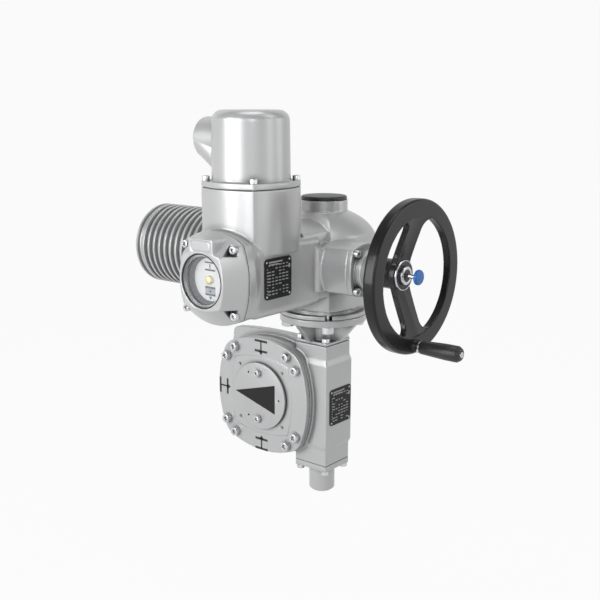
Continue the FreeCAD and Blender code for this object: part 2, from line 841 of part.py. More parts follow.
def gearbox_housing():
    body = new_body("gearbox_housing")
    place(body)
    layers = [(D.lip_back, D.cover_back, D.cover_half, D.cover_corner, D.cover_edge),
              (D.case_front, D.lip_back, D.waist_half, D.waist_corner, D.waist_edge),
              (D.case_back, D.case_front, D.case_half, D.case_corner, D.case_edge)]
    for back, front, half, corner, edge in layers:
        pad(body, Sketch(body, "XZ_Plane", back).bulged(0, 0, half, half, corner),
            front - back)
        soften(body, edge, corner_edges(corner))
    radius = D.valve_flange
    loft(body, [Sketch(body, "XZ_Plane", D.case_back)
                .bulged(0, 0, D.case_half - 2, D.case_half - 2, D.case_corner - 4),
                Sketch(body, "XZ_Plane", D.valve_thick)
                .bulged(0, 0, radius - 0.5, radius - 0.5, radius * 0.7)])
    pad(body, Sketch(body, "XZ_Plane").circle(0, 0, radius), D.valve_thick)
    column_base = COLUMN_TOP - D.column_drop
    half = D.column_half
    narrow = (AXIS_X, AXIS_Y, half, half, D.column_edge)
    belt = (AXIS_X, AXIS_Y, D.column_wide, D.column_wide, D.column_edge)
    low = -D.belt_low
    pad(body, Sketch(body, "XY_Plane", column_base).rounded(*narrow), D.column_drop)
    loft(body, [Sketch(body, "XY_Plane", D.belt_high + D.belt_run).rounded(*narrow),
                Sketch(body, "XY_Plane", D.belt_high).rounded(*belt)])
    pad(body, Sketch(body, "XY_Plane", low).rounded(*belt), D.belt_high - low)
    loft(body, [Sketch(body, "XY_Plane", low - D.belt_low_run).rounded(*narrow),
                Sketch(body, "XY_Plane", low).rounded(*belt)])
    room = half + D.seat_gap
    pocket(body, Sketch(body, "XY_Plane", COLUMN_TOP + D.plate_thick)
           .rectangle(AXIS_X, AXIS_Y, room, room), D.plate_thick)
    gearbox_bores(body, column_base)
    return body


def cover_bolt_spots():
    return mirrored_spots(D.cover_bolt_near, D.cover_bolt_far) + mirrored_spots(
        D.cover_bolt_far, D.cover_bolt_near)


def gearbox_bores(body, column_base):
    pocket(body, Sketch(body, "XZ_Plane", D.cover_back).circle(0, 0, D.wheel_chamber),
           D.cover_back - D.wheel_back)
    pocket(body, Sketch(body, "XZ_Plane", D.cover_back).circle(0, 0, D.bush_radius),
           D.cover_back)
    pocket(body, Sketch(body, "XY_Plane", COLUMN_TOP).circle(AXIS_X, AXIS_Y, D.worm_bore),
           D.column_drop)
    pocket(body, Sketch(body, "XZ_Plane", D.cover_back)
           .circles(cover_bolt_spots(), D.m8_radius + D.fit_gap), D.m8_radius * 4)
    pocket(body, Sketch(body, "XZ_Plane")
           .circles(mirrored_spots(D.valve_bolts), D.valve_bolt_radius),
           D.valve_bolt_depth, backwards=True)
    spots = [(AXIS_X + u, AXIS_Y + v) for u, v in mirrored_spots(D.corner_bolts)]
    hole = D.corner_bolt_radius + D.fit_gap
    pocket(body, Sketch(body, "XY_Plane", COLUMN_TOP).circles(spots, hole), 12)
    pocket(body, Sketch(body, "XY_Plane", column_base).circles(spots, hole), 12,
           backwards=True)


def gearbox_cover():
    body = new_body("gearbox_cover")
    place(body)
    thick = D.gear_depth - D.cover_back
    for level, inset in ((D.cover_back, D.seam_deep), (D.cover_back + D.seam_wide, 0)):
        half = D.cover_half - inset
        plate = Sketch(body, "XZ_Plane", level)
        plate.cushion(0, 0, half, half, D.cover_corner - inset, D.cover_edge)
        pad(body, plate, D.gear_depth - level)
    pad(body, Sketch(body, "XZ_Plane", D.gear_depth)
        .bulged(0, 0, D.raised_half, D.raised_half, D.raised_corner), D.raised_high)
    pocket(body, Sketch(body, "XZ_Plane", D.gear_depth + D.raised_high)
           .circle(0, 0, D.bush_radius), thick + D.raised_high)
    pocket(body, Sketch(body, "XZ_Plane", D.gear_depth)
           .circles(cover_bolt_spots(), D.m8_radius + D.fit_gap), thick)
    pocket(body, Sketch(body, "XZ_Plane", D.gear_depth + D.raised_high)
           .circles(mirrored_spots(D.pin_spread), D.pin_radius), 4)
    return body


def gear_train():
    wheel = new_body("worm_wheel")
    place(wheel, 0, AXIS_Y, 0, TO_FRONT)
    gear_blank(wheel, 53, D.worm_module, D.wheel_width, D.coupling_radius + D.fit_gap)
    hub_front = D.cover_back - D.axis_setback
    hub = Sketch(wheel, "XY_Plane", D.seat_gap - D.axis_setback)
    hub.circle(0, 0, D.journal_radius).circle(0, 0, D.coupling_radius + D.fit_gap)
    pad(wheel, hub, hub_front + D.axis_setback - D.seat_gap)
    coupling = new_body("valve_coupling")
    place(coupling, 0, 0, 0, TO_FRONT)
    sleeve = Sketch(coupling, "XY_Plane", D.seat_gap)
    sleeve.circle(0, 0, D.coupling_radius).circle(0, 0, D.stem_radius)
    pad(coupling, sleeve, D.cover_back - D.seat_gap)
    key = Sketch(coupling, "XY_Plane", D.seat_gap)
    key.rectangle(0, D.stem_radius, D.key_width / 2, D.key_depth)
    pocket(coupling, key, D.cover_back, backwards=True)
    bush = disc_body("wheel_bush_rear", [(D.journal_radius + D.fit_gap, 1),
                                         (D.bush_radius, 1), (D.bush_radius, D.wheel_back - 1),
                                         (D.journal_radius + D.fit_gap, D.wheel_back - 1)])
    place(bush, 0, 0, 0, TO_FRONT)
    front = disc_body("wheel_bush_front", [
        (D.journal_radius + D.fit_gap, D.cover_back - 12), (D.bush_radius, D.cover_back - 12),
        (D.bush_radius, D.gear_depth), (D.journal_radius + D.fit_gap, D.gear_depth)])
    place(front, 0, 0, 0, TO_FRONT)


# The worm shaft stands on the column's axis and reaches up into the hollow shaft
def gearbox_worm():
    pitch = D.gear_centres - D.worm_module * 26.5
    tip = pitch + D.worm_module - 2 * D.worm_module - D.run_gap
    thread = D.wheel_chamber * 0.5
    body = disc_body("gearbox_worm", [
        (0, -D.column_drop / 2), (D.worm_shaft, -D.column_drop / 2), (D.worm_shaft, -thread),
        (tip, -thread), (tip, thread), (D.worm_shaft, thread),
        (D.worm_shaft, SEAM_Z + D.foot_top), (0, SEAM_Z + D.foot_top)])
    place(body, AXIS_X, AXIS_Y, 0)
    for label, low in (("worm_bearing_upper", COLUMN_TOP - 28), ("worm_bearing_lower", -84)):
        ring = disc_body(label, [(D.worm_shaft + D.fit_gap, 0), (D.worm_bore - D.fit_gap, 0),
                                 (D.worm_bore - D.fit_gap, 14), (D.worm_shaft + D.fit_gap, 14)])
        place(ring, AXIS_X, AXIS_Y, low)


def worm_end_cover():
    body = new_body("worm_end_cover")
    place(body, AXIS_X, AXIS_Y, COLUMN_TOP - D.column_drop)
    for inset, thick in ((0, D.end_plate - D.seam_wide), (D.seam_deep, D.end_plate)):
        half = D.column_half - inset
        plate = Sketch(body, "XY_Plane", -D.end_plate)
        plate.rounded(0, 0, half, half, D.column_edge)
        plate.circles(mirrored_spots(D.corner_bolts), D.corner_bolt_radius + D.fit_gap)
        pad(body, plate, thick)
    low = -D.end_length
    turned(body, Sketch(body, "XZ_Plane").polygon(
        [(0, low), (D.end_tube - D.end_chamfer, low), (D.end_tube, low + D.end_chamfer),
         (D.end_tube, -D.end_plate / 2), (0, -D.end_plate / 2)]))
    return body


def pointer():
    disc = disc_body("pointer_disc", [
        (0, D.cover_back), (D.journal_radius - 4, D.cover_back),
        (D.journal_radius - 4, D.gear_depth + D.raised_high + D.seal_gap),
        (D.pointer_radius, D.gear_depth + D.raised_high + D.seal_gap),
        (D.pointer_radius, D.gear_depth + D.raised_high + D.seal_gap + D.pointer_thick),
        (0, D.gear_depth + D.raised_high + D.seal_gap + D.pointer_thick)])
    place(disc, 0, 0, 0, TO_FRONT)
    top = D.gear_depth + D.raised_high + D.seal_gap + D.pointer_thick
    pocket(disc, Sketch(disc, "XY_Plane", top).circles(
        [(0, D.pointer_bolts), (0, -D.pointer_bolts)], D.m6_radius + D.fit_gap),
        D.pointer_thick * 2)
    gauge = [(D.gauge_ring, 0)]
    for side in (-1, 1):
        turn = math.radians(121 * side)
        gauge.append((D.gauge_ring * math.cos(turn), D.gauge_ring * math.sin(turn)))
    pocket(disc, Sketch(disc, "XY_Plane", top).circles(gauge, D.gauge_hole), D.pointer_thick)
    mark = new_body("pointer_mark")
    place(mark, 0, 0, 0, TO_FRONT)
    pad(mark, Sketch(mark, "XY_Plane", top).polygon(
        [(-D.mark_tip, 0), (D.mark_tail, -D.mark_half), (D.mark_tail, D.mark_half)]),
        D.mark_thick)


# Shafts of the actuator: hollow shaft with its worm wheel, and the drive worm across it
def drive_train():
    hollow = disc_body("hollow_shaft", [
        (D.worm_shaft + D.fit_gap, D.seat_gap), (D.hollow_radius, D.seat_gap),
        (D.hollow_radius, D.neck_top - 8), (D.worm_shaft + D.fit_gap, D.neck_top - 8)])
    place(hollow, AXIS_X, AXIS_Y, SEAM_Z)
    wheel = new_body("drive_worm_wheel")
    place(wheel, AXIS_X, AXIS_Y, SHAFT_Z)
    gear_blank(wheel, 32, D.drive_module, D.drive_width, D.hollow_radius + D.fit_gap)
    seat = disc_body("hollow_shaft_bearing", [
        (D.hollow_radius + D.fit_gap, 0), (D.neck_bore - D.fit_gap, 0),
        (D.neck_bore - D.fit_gap, 12), (D.hollow_radius + D.fit_gap, 12)])
    place(seat, AXIS_X, AXIS_Y, SEAM_Z + D.cavity_top + 15)
    clear = D.drive_centres - D.drive_module * 17 - D.run_gap
    half = D.drive_width
    motor_end = -D.motor_reach - MOTOR_LENGTH + 6
    worm = disc_body("drive_worm", [
        (0, motor_end), (D.drive_shaft - 3, motor_end), (D.drive_shaft - 3, -half * 2),
        (clear, -half * 2), (clear, half * 2), (D.drive_shaft, half * 2),
        (D.drive_shaft, D.arm_reach - 2), (0, D.arm_reach - 2)])
    place(worm, AXIS_X, SHAFT_Y, SHAFT_Z, TO_RIGHT)
    rotor = disc_body("motor_rotor", [
        (D.drive_shaft - 3 + D.fit_gap, 0), (D.rotor_radius - D.run_gap, 0),
        (D.rotor_radius - D.run_gap, D.stator_length),
        (D.drive_shaft - 3 + D.fit_gap, D.stator_length)])
    place(rotor, AXIS_X - D.motor_reach - 20, SHAFT_Y, SHAFT_Z, TO_LEFT)
    for label, at in (("drive_bearing_right", D.arm_reach - 20),
                      ("drive_bearing_left", -D.motor_reach + 20)):
        inner = D.drive_shaft if label.endswith("right") else D.drive_shaft - 3
        ring = disc_body(label, [(inner + D.fit_gap, 0), (D.shaft_bore - D.fit_gap, 0),
                                 (D.shaft_bore - D.fit_gap, 12), (inner + D.fit_gap, 12)])
        place(ring, AXIS_X + at, SHAFT_Y, SHAFT_Z, TO_RIGHT)


# Finned motor on the left, drawn from its flange outwards
def motor():
    corners = [(D.stator_radius, 0), (D.motor_radius, 0), (D.motor_radius, D.fin_thick)]
    for i in range(1, FIN_COUNT + 1):
        low = D.fin_pitch * i
        corners += [(D.fin_root, low - D.fin_pitch + D.fin_thick + 1), (D.fin_root, low - 1),
                    (D.motor_radius, low), (D.motor_radius, low + D.fin_thick)]
    corners.append((D.stator_radius, MOTOR_LENGTH))
    housing = disc_body("motor_housing", corners)
    place(housing, AXIS_X - D.motor_reach, SHAFT_Y, SHAFT_Z, TO_LEFT)
    stator = disc_body("motor_stator", [
        (D.rotor_radius, 0), (D.stator_radius - D.fit_gap, 0),
        (D.stator_radius - D.fit_gap, D.stator_length), (D.rotor_radius, D.stator_length)])
    place(stator, AXIS_X - D.motor_reach - 20, SHAFT_Y, SHAFT_Z, TO_LEFT)
    seat = D.drive_shaft - 3
    cover = disc_body("motor_end_cover", [
        (seat + D.fit_gap, -16), (16, -16), (16, 0), (D.motor_radius, 0),
        (D.motor_radius, D.end_cover_thick - 4), (D.motor_radius - 4, D.end_cover_thick),
        (0, D.end_cover_thick), (0, D.end_cover_thick - 8), (seat + D.fit_gap,
                                                              D.end_cover_thick - 8)])
    place(cover, AXIS_X - D.motor_reach - MOTOR_LENGTH, SHAFT_Y, SHAFT_Z, TO_LEFT)
    pocket(cover, Sketch(cover, "XY_Plane", D.end_cover_thick).circles(
        mirrored_spots(D.stator_radius * 0.8), D.m6_radius + D.fit_gap), 10)


# Control cover with window, drawn from the seam towards the front
def control_cover():
    body = new_body("control_cover")
    front_y = AXIS_Y - CONTROL_FRONT
    place(body, CONTROL_X, front_y, SEAM_Z + D.control_rise, TO_FRONT)
    rim = (0, 0, D.control_half, D.control_rise_half, D.control_corner, D.rim_round)
    inset = D.seam_deep
    pad(body, Sketch(body, "XY_Plane").cushion(
        0, 0, D.control_half - inset, D.control_rise_half - inset, D.control_corner - inset,
        D.rim_round), D.cover_rim)
    pad(body, Sketch(body, "XY_Plane", D.seam_wide).cushion(*rim), D.cover_rim - D.seam_wide)
    loft(body, [Sketch(body, "XY_Plane", D.cover_rim).cushion(*rim),
                Sketch(body, "XY_Plane", D.cover_high)
                .cushion(0, 0, D.face_half, D.face_half, D.face_corner, D.rim_round)])
    badge_middle = (D.badge_top + D.badge_base) / 2
    badge_rise = (D.badge_top - D.badge_base) / 2
    loft(body, [Sketch(body, "XY_Plane", D.cover_rim - 1)
                .rounded(0, badge_middle, D.badge_foot, badge_rise + 1.5, 4),
                Sketch(body, "XY_Plane", D.cover_high)
                .rounded(0, badge_middle, D.badge_half, badge_rise, 3)])
    for u, v in ((1, 1), (-1, 1), (-1, -1), (1, -1)):
        at = D.control_bolts
        room = D.m6_head + 3
        pocket(body, Sketch(body, "XY_Plane", D.cover_high).polygon(
            [(u * (at - room), v * (at + room * 2)), (u * (at - room), v * (at - room)),
             (u * (at + room * 2), v * (at - room))]), D.cover_high - D.pocket_floor)
    pocket(body, Sketch(body, "XY_Plane", D.cover_high).circles(
        mirrored_spots(D.control_bolts), D.m6_radius + D.fit_gap), D.cover_high)
    pocket(body, Sketch(body, "XY_Plane", D.cover_high).circle(0, 0, D.window_radius),
           D.cover_high - D.glass_back)
    pocket(body, Sketch(body, "XY_Plane", D.cover_high).circle(0, 0, D.ring_bore),
           D.cover_high)
    return body


def window_and_dial():
    front_y = AXIS_Y - CONTROL_FRONT
    up = SEAM_Z + D.control_rise
    glass = disc_body("sight_glass", [
        (0, D.glass_back), (D.glass_radius, D.glass_back),
        (D.glass_radius, D.glass_back + D.glass_thick), (0, D.glass_back + D.glass_thick)])
    ring = disc_body("glass_ring", [
        (D.glass_radius, D.glass_back), (D.window_radius - D.fit_gap, D.glass_back),
        (D.window_radius - D.fit_gap, D.cover_high), (D.window_radius - 2, D.cover_high),
        (D.glass_radius - 1.5, D.glass_back + D.glass_thick),
        (D.glass_radius, D.glass_back + D.glass_thick)])
    dial = disc_body("indicator_dial", [
        (0, D.dial_back), (D.dial_radius, D.dial_back),
        (D.dial_radius, D.dial_back + D.dial_thick), (0, D.dial_back + D.dial_thick)])
    knob = disc_body("indicator_hub", [
        (0, D.dial_back + D.dial_thick), (D.knob_radius, D.dial_back + D.dial_thick),
        (D.knob_radius, D.dial_back + D.dial_thick + D.knob_high - 1),
        (D.knob_radius - 1, D.dial_back + D.dial_thick + D.knob_high),
        (0, D.dial_back + D.dial_thick + D.knob_high)])
    shaft = disc_body("dial_shaft", [
        (0, -40), (D.dial_shaft, -40), (D.dial_shaft, D.dial_back), (0, D.dial_back)])
    unit = disc_body("control_unit", [
        (D.dial_shaft + D.fit_gap, -100), (D.control_bore - D.fit_gap, -100),
        (D.control_bore - D.fit_gap, -88), (D.control_bore - 6, -88),
        (D.control_bore - 6, -4), (D.dial_shaft + D.fit_gap, -4)])
    for piece in (glass, ring, dial, knob, shaft, unit):
        place(piece, CONTROL_X, front_y, up, TO_FRONT)


# Terminal cover with its side entry
def terminal_cover():
    body = new_body("terminal_cover")
    place(body, CONTROL_X, AXIS_Y - D.terminal_out, SEAM_Z + D.terminal_seam)
    for level, inset in ((0, D.seam_deep), (D.seam_wide, 0)):
        half = D.terminal_half - inset
        pad(body, Sketch(body, "XY_Plane", level)
            .bulged(0, 0, half, half, D.terminal_corner - inset), D.lid_flange - level)
    turned(body, Sketch(body, "XZ_Plane").polygon(
        [(0, D.lid_flange / 2), (D.lid_radius, D.lid_flange / 2),
         (D.lid_top_radius, D.lid_high), (0, D.lid_high)]))
    soften(body, D.lid_edge, lambda e: near(middle(e).z, D.lid_high)
           and e.Curve.TypeId == "Part::GeomCircle")
    pad(body, Sketch(body, "YZ_Plane").circle(0, D.entry_high, D.entry_radius),
        D.entry_reach, backwards=True)
    chute = Sketch(body, "YZ_Plane", 1 - D.entry_reach)
    chute.circle(0, D.entry_high, D.entry_radius - 0.4)
    feature(body, "Pad", chute, Length=D.chute_run, UseCustomVector=True,
            Direction=VEC(0.8172, 0, -0.5764), AlongSketchNormal=True)
    inner = D.lid_radius - D.lid_wall
    turned_away = Sketch(body, "XY_Plane").circle(0, 0, inner - 1)
    pocket(body, turned_away, D.lid_high - D.lid_wall, backwards=True)
    pocket(body, Sketch(body, "YZ_Plane", -D.entry_reach).circle(
        0, D.entry_high, D.entry_thread), D.entry_reach, backwards=True)
    pocket(body, Sketch(body, "XY_Plane", D.lid_flange).circles(
        mirrored_spots(D.lid_bolts), D.m6_radius + D.fit_gap), D.lid_flange)
    plug = disc_body("entry_plug", [
        (0, -8), (D.entry_thread - D.fit_gap, -8), (D.entry_thread - D.fit_gap, 0),
        (D.entry_thread + 4, 0), (D.entry_thread + 4, 2), (0, 2)])
    place(plug, CONTROL_X - D.entry_reach, AXIS_Y - D.terminal_out,
          SEAM_Z + D.terminal_seam + D.entry_high, TO_LEFT)
    pad(plug, hexagon(Sketch(plug, "XY_Plane", 1.0), 0, 0, D.plug_hex), 7.0)
    board = disc_body("terminal_board", [
        (0, -16), (D.terminal_bore - D.fit_gap, -16), (D.terminal_bore - D.fit_gap, -4),
        (D.terminal_bore - 8, -4), (D.terminal_bore - 8, 6), (0, 6)])
    place(board, CONTROL_X, AXIS_Y - D.terminal_out, SEAM_Z + D.terminal_seam)
    return body


def stem_cap():
    body = disc_body("stem_cap", [
        (0, -6), (D.neck_bore - D.fit_gap, -6), (D.neck_bore - D.fit_gap, 0),
        (D.cap_radius, 0), (D.cap_radius, D.cap_thick - 1.5),
        (D.cap_radius - 1.5, D.cap_thick), (0, D.cap_thick)])
    place(body, AXIS_X, AXIS_Y, SEAM_Z + D.neck_top)


# Bearing flange that closes the arm and carries the handwheel shaft
def handwheel_flange():
    body = new_body("handwheel_flange")
    place(body, AXIS_X + D.arm_reach, SHAFT_Y, SHAFT_Z, TO_RIGHT)
    pad(body, Sketch(body, "XY_Plane").bulged(0, 0, D.arm_half, D.arm_half, D.arm_corner),
        D.bearing_plate)
    turned(body, Sketch(body, "XZ_Plane").polygon(
        [(0, 1), (D.bearing_boss, 1), (D.bearing_boss, D.bearing_reach - 4),
         (D.bearing_boss - 4, D.bearing_reach), (0, D.bearing_reach)]))
    pocket(body, Sketch(body, "XY_Plane", D.bearing_reach)
           .circle(0, 0, D.hand_shaft + D.fit_gap), D.bearing_reach)
    pocket(body, Sketch(body, "XY_Plane", D.bearing_plate)
           .circles(mirrored_spots(D.arm_bolts), D.m6_radius + D.fit_gap), D.bearing_plate)


# Dished two-spoke handwheel about its own Z axis, zero on the rim's front plane
def handwheel():
    body = new_body("handwheel")
    place(body, AXIS_X + WHEEL_FRONT, SHAFT_Y, SHAFT_Z, TO_RIGHT)
    back = -D.rim_depth
    bore = D.hand_shaft + D.fit_gap
    hub_face = -D.web_hub_front
    hub_back = D.bearing_reach + D.hub_clear - D.wheel_gap
    turned(body, Sketch(body, "XZ_Plane").polygon(
        [(bore, hub_back), (D.hub_boss - 1, hub_back), (D.hub_boss, hub_face - D.web_wall - 2),
         (D.wheel_hub, hub_face - D.web_wall), (D.rim_inner, -D.web_rim_back),
         (D.rim_inner, -D.rim_plate), (D.rim_skirt, -D.rim_plate), (D.rim_skirt, back),
         (D.wheel_radius - D.rim_edge, back), (D.wheel_radius, back + D.rim_edge),
         (D.wheel_radius, -D.rim_edge), (D.wheel_radius - D.rim_edge, 0), (D.rim_inner, 0),
         (D.rim_inner, -D.web_rim_front), (D.wheel_hub, hub_face), (bore, hub_face)]))
    for side in (1, -1):
        wheel_window(body, side)
        spoke_groove(body, side)
    pocket(body, Sketch(body, "XY_Plane").circle(D.grip_drop, D.grip_side,
                                                 D.grip_pin + D.fit_gap), D.rim_depth)
    return body


def wheel_window(body, side):
    # The opening between the two spokes, with round corners at the rim.
    outer, hub, half, bend, deep = numbers(D.rim_inner + 0.3, D.wheel_hub, D.spoke_half,
                                           D.window_corner, D.web_hub_front + D.web_wall + 1)
    heart = VEC(math.sqrt((outer - bend) ** 2 - (half + bend) ** 2), half + bend, 0)
    on_rim = heart * (outer / (outer - bend))
    on_spoke = VEC(heart.x, half, 0)
    out = (on_rim - heart) + (on_spoke - heart)
    mid = heart + out * (bend / out.Length)
    root = VEC(math.sqrt(hub ** 2 - half ** 2), half, 0)

    def spot(point, flip=1):
        return VEC(point.x * flip, point.y * side, 0)

    pocket(body, Sketch(body, "XY_Plane").outline([
        Part.Arc(spot(on_rim), spot(VEC(0, outer, 0)), spot(on_rim, -1)),
        Part.Arc(spot(on_rim, -1), spot(mid, -1), spot(on_spoke, -1)),
        Part.LineSegment(spot(on_spoke, -1), spot(root, -1)),
        Part.Arc(spot(root, -1), spot(VEC(0, hub, 0)), spot(root)),
        Part.LineSegment(spot(root), spot(on_spoke)),
        Part.Arc(spot(on_spoke), spot(mid), spot(on_rim))]), deep)


def spoke_groove(body, side):
    # A shallow groove along one flank of both spokes, halfway down the web's wall.
    half, hub, rim, hub_face, rim_face, wall, wide = numbers(
        D.spoke_half, D.wheel_hub, D.rim_inner, D.web_hub_front, D.web_rim_front, D.web_wall,
        D.groove_wide)
    slope = (hub_face - rim_face) / (rim - hub)
    start, end = hub + 4, rim - 16
    tops = [-rim_face - slope * (rim - math.hypot(reach, half)) - (wall - wide) / 2
            for reach in (start, end)]
    sketch = Sketch(body, "XZ_Plane", D.spoke_half * -side)
    for flip in (1, -1):
        sketch.polygon([(start * flip, tops[0]), (end * flip, tops[1]),
                        (end * flip, tops[1] - wide), (start * flip, tops[0] - wide)])
    pocket(body, sketch, D.groove_deep, backwards=side > 0)


def handwheel_fittings():
    base = AXIS_X + WHEEL_FRONT
    hub_face = -D.web_hub_front
    shaft = disc_body("handwheel_shaft", [
        (D.rod_radius + D.fit_gap, 2 - D.wheel_gap), (D.hand_shaft, 2 - D.wheel_gap),
        (D.hand_shaft, hub_face + D.nut_thick / 2),
        (D.rod_radius + D.fit_gap, hub_face + D.nut_thick / 2)])
    inner = D.hub_ring - D.hub_ring_wall
    ring = disc_body("hub_ring", [
        (inner, hub_face), (D.hub_ring, hub_face), (D.hub_ring, hub_face + D.hub_ring_thick - 1),
        (D.hub_ring - 1, hub_face + D.hub_ring_thick), (inner, hub_face + D.hub_ring_thick)])
    washer = disc_body("hub_washer", [
        (D.nut_radius + D.fit_gap, hub_face), (inner - D.fit_gap, hub_face),
        (inner - D.fit_gap, hub_face + D.washer_thick),
        (D.nut_radius + D.fit_gap, hub_face + D.washer_thick)])
    nut = disc_body("hub_nut", [
        (D.hand_shaft + D.fit_gap, hub_face), (D.nut_radius, hub_face),
        (D.nut_radius, hub_face + D.nut_thick - 1),
        (D.nut_radius - 1, hub_face + D.nut_thick),
        (D.hand_shaft + D.fit_gap, hub_face + D.nut_thick)])
    button_back = D.button_proud - D.button_thick
    button = disc_body("push_button", [
        (0, button_back), (D.button_radius - 1, button_back),
        (D.button_radius, button_back + 1), (D.button_radius, button_back + 4),
        (D.button_radius - 1.5, button_back + D.button_thick),
        (0, button_back + D.button_thick)])
    rod = disc_body("button_rod", [
        (0, hub_face - 30), (D.rod_radius, hub_face - 30), (D.rod_radius, button_back),
        (0, button_back)])
    for piece in (shaft, ring, washer, nut, button, rod):
        place(piece, base, SHAFT_Y, SHAFT_Z, TO_RIGHT)
    grip = disc_body("crank_grip", [
        (D.grip_pin + D.fit_gap, D.ferrule_length), (D.grip_base, D.ferrule_length),
        (D.grip_base, D.ferrule_length + 3), (D.grip_tip, D.grip_length * 0.7),
        (D.grip_tip, D.grip_length), (D.grip_tip - 3, D.grip_length + D.ferrule_length),
        (D.grip_pin + D.fit_gap, D.grip_length + D.ferrule_length)])
    pin = disc_body("grip_pin", [
        (0, -D.rim_depth), (D.grip_pin, -D.rim_depth), (D.grip_pin, 0),
        (D.ferrule_radius, 0), (D.ferrule_radius, D.ferrule_length - D.seat_gap),
        (D.grip_pin, D.ferrule_length - D.seat_gap),
        (D.grip_pin, D.grip_length + D.ferrule_length + 1),
        (0, D.grip_length + D.ferrule_length + 1)])
    for piece in (grip, pin):
        place(piece, base, SHAFT_Y + D.grip_side, SHAFT_Z - D.grip_drop, TO_RIGHT)


def plates():
    side = AXIS_X + D.box_half - D.control_shift
    plate = new_body("rating_plate")
    place(plate, side, AXIS_Y - D.terminal_out - D.plate_step, SHAFT_Z, UPRIGHT)
    half = D.plate_size / 2
    pad(plate, Sketch(plate, "YZ_Plane").rectangle(0, 0, half, half), D.sheet_metal)
    tag = new_body("gearbox_plate")
    place(tag, AXIS_X + D.column_wide, AXIS_Y + D.tag_shift, -D.tag_rise)
    pad(tag, Sketch(tag, "YZ_Plane").rectangle(0, 0, D.tag_width / 2, D.tag_high / 2),
        D.sheet_metal)
    for body, u, v in ((plate, half, half), (tag, D.tag_width / 2, D.tag_high / 2)):
        soften(body, 5, lambda e: along(e, VEC(1, 0, 0)))


def fasteners():
    m6 = socket_screw("m6_screw", D.m6_radius, D.m6_head, D.m6_high, D.m6_radius * 4.5)
    m8 = socket_screw("m8_screw", D.m8_radius, D.m8_head, D.m8_high, D.m8_radius * 6)
    short = socket_screw("m6_short", D.m6_radius, D.m6_head, D.m6_high, D.pointer_thick * 1.5)
    bolt = hex_screw("m10_bolt", D.bolt_radius, D.bolt_flats, D.bolt_head,
                     D.adapter_thick + D.flange_thick - 1)
    corner = hex_screw("corner_bolt", D.corner_bolt_radius, D.corner_bolt_flats,
                       D.corner_bolt_head, 16)
    up = SEAM_Z + D.control_rise
    front = AXIS_Y - CONTROL_FRONT - D.pocket_floor
    group("control_cover_screws", m6, [(CONTROL_X + u, front, up + v)
                                       for u, v in mirrored_spots(D.control_bolts)], TO_FRONT)
    out = AXIS_Y - D.terminal_out
    group("terminal_cover_screws", m6,
          [(CONTROL_X + u, out + v, SEAM_Z + D.terminal_seam + D.lid_flange)
           for u, v in mirrored_spots(D.lid_bolts)], UPRIGHT)
    group("bearing_screws", m6,
          [(AXIS_X + D.arm_reach + D.bearing_plate, SHAFT_Y + u, SHAFT_Z + v)
           for u, v in mirrored_spots(D.arm_bolts)], TO_RIGHT)
    group("gearbox_cover_screws", m8, [(u, -D.gear_depth, v) for u, v in cover_bolt_spots()],
          TO_FRONT)
    top = D.gear_depth + D.raised_high + D.seal_gap + D.pointer_thick
    group("pointer_screws", short, [(0, -top, D.pointer_bolts), (0, -top, -D.pointer_bolts)],
          TO_FRONT)
    pin = DOC.addObject("PartDesign::Body", "dowel_pin")
    slim = D.pin_radius - D.fit_gap
    turned(pin, Sketch(pin, "XZ_Plane").polygon(
        [(0, -3.9), (slim, -3.9), (slim, 0.6), (slim - 0.5, 1.1), (0, 1.1)]))
    group("cover_pins", pin, [(u, -D.gear_depth - D.raised_high, v)
                              for u, v in mirrored_spots(D.pin_spread)], TO_FRONT)
    short_end = socket_screw("end_screw", D.m6_radius, D.m6_head, D.m6_high, 9)
    end_x = AXIS_X - D.motor_reach - MOTOR_LENGTH - D.end_cover_thick
    group("motor_cover_screws", short_end,
          [(end_x, SHAFT_Y + u, SHAFT_Z + v) for u, v in mirrored_spots(D.stator_radius * 0.8)],
          TO_LEFT)
    group("adapter_bolts", bolt, [(AXIS_X + u, AXIS_Y + v, SEAM_Z - D.adapter_thick)
                                  for u, v in mirrored_spots(D.flange_bolts)],
          FreeCAD.Rotation(VEC(1, 0, 0), 180))
    group("adapter_foot_screws", corner,
          [(AXIS_X + u, AXIS_Y + v, SEAM_Z - D.adapter_drop)
           for u, v in mirrored_spots(D.corner_bolts)], UPRIGHT)
    group("end_cover_screws", corner,
          [(AXIS_X + u, AXIS_Y + v, COLUMN_TOP - D.column_drop - D.end_plate)
           for u, v in mirrored_spots(D.corner_bolts)], FreeCAD.Rotation(VEC(1, 0, 0), 180))


def check_document():
    DOC.recompute()
    faults = [f"{thing.Label} {thing.State}" for thing in DOC.Objects
              if "Invalid" in thing.State or "Error" in thing.State]
    cuts = ("PartDesign::Pocket", "PartDesign::Groove")
    for thing in DOC.Objects:
        if thing.TypeId in cuts and thing.BaseFeature is not None:
            if thing.Shape.Volume >= thing.BaseFeature.Shape.Volume - 1e-3:
                faults.append(f"{thing.Label} cuts nothing")
    faults += [f"{thing.Label} has no valid shape" for thing in SUBPARTS
               if thing.Shape.isNull() or not thing.Shape.isValid()]
    if faults:
        raise RuntimeError("; ".join(faults))


def write_parts():
    os.makedirs("parts", exist_ok=True)
    for thing in SUBPARTS:
        thing.Shape.exportStep(os.path.join("parts", thing.Label + ".step"))


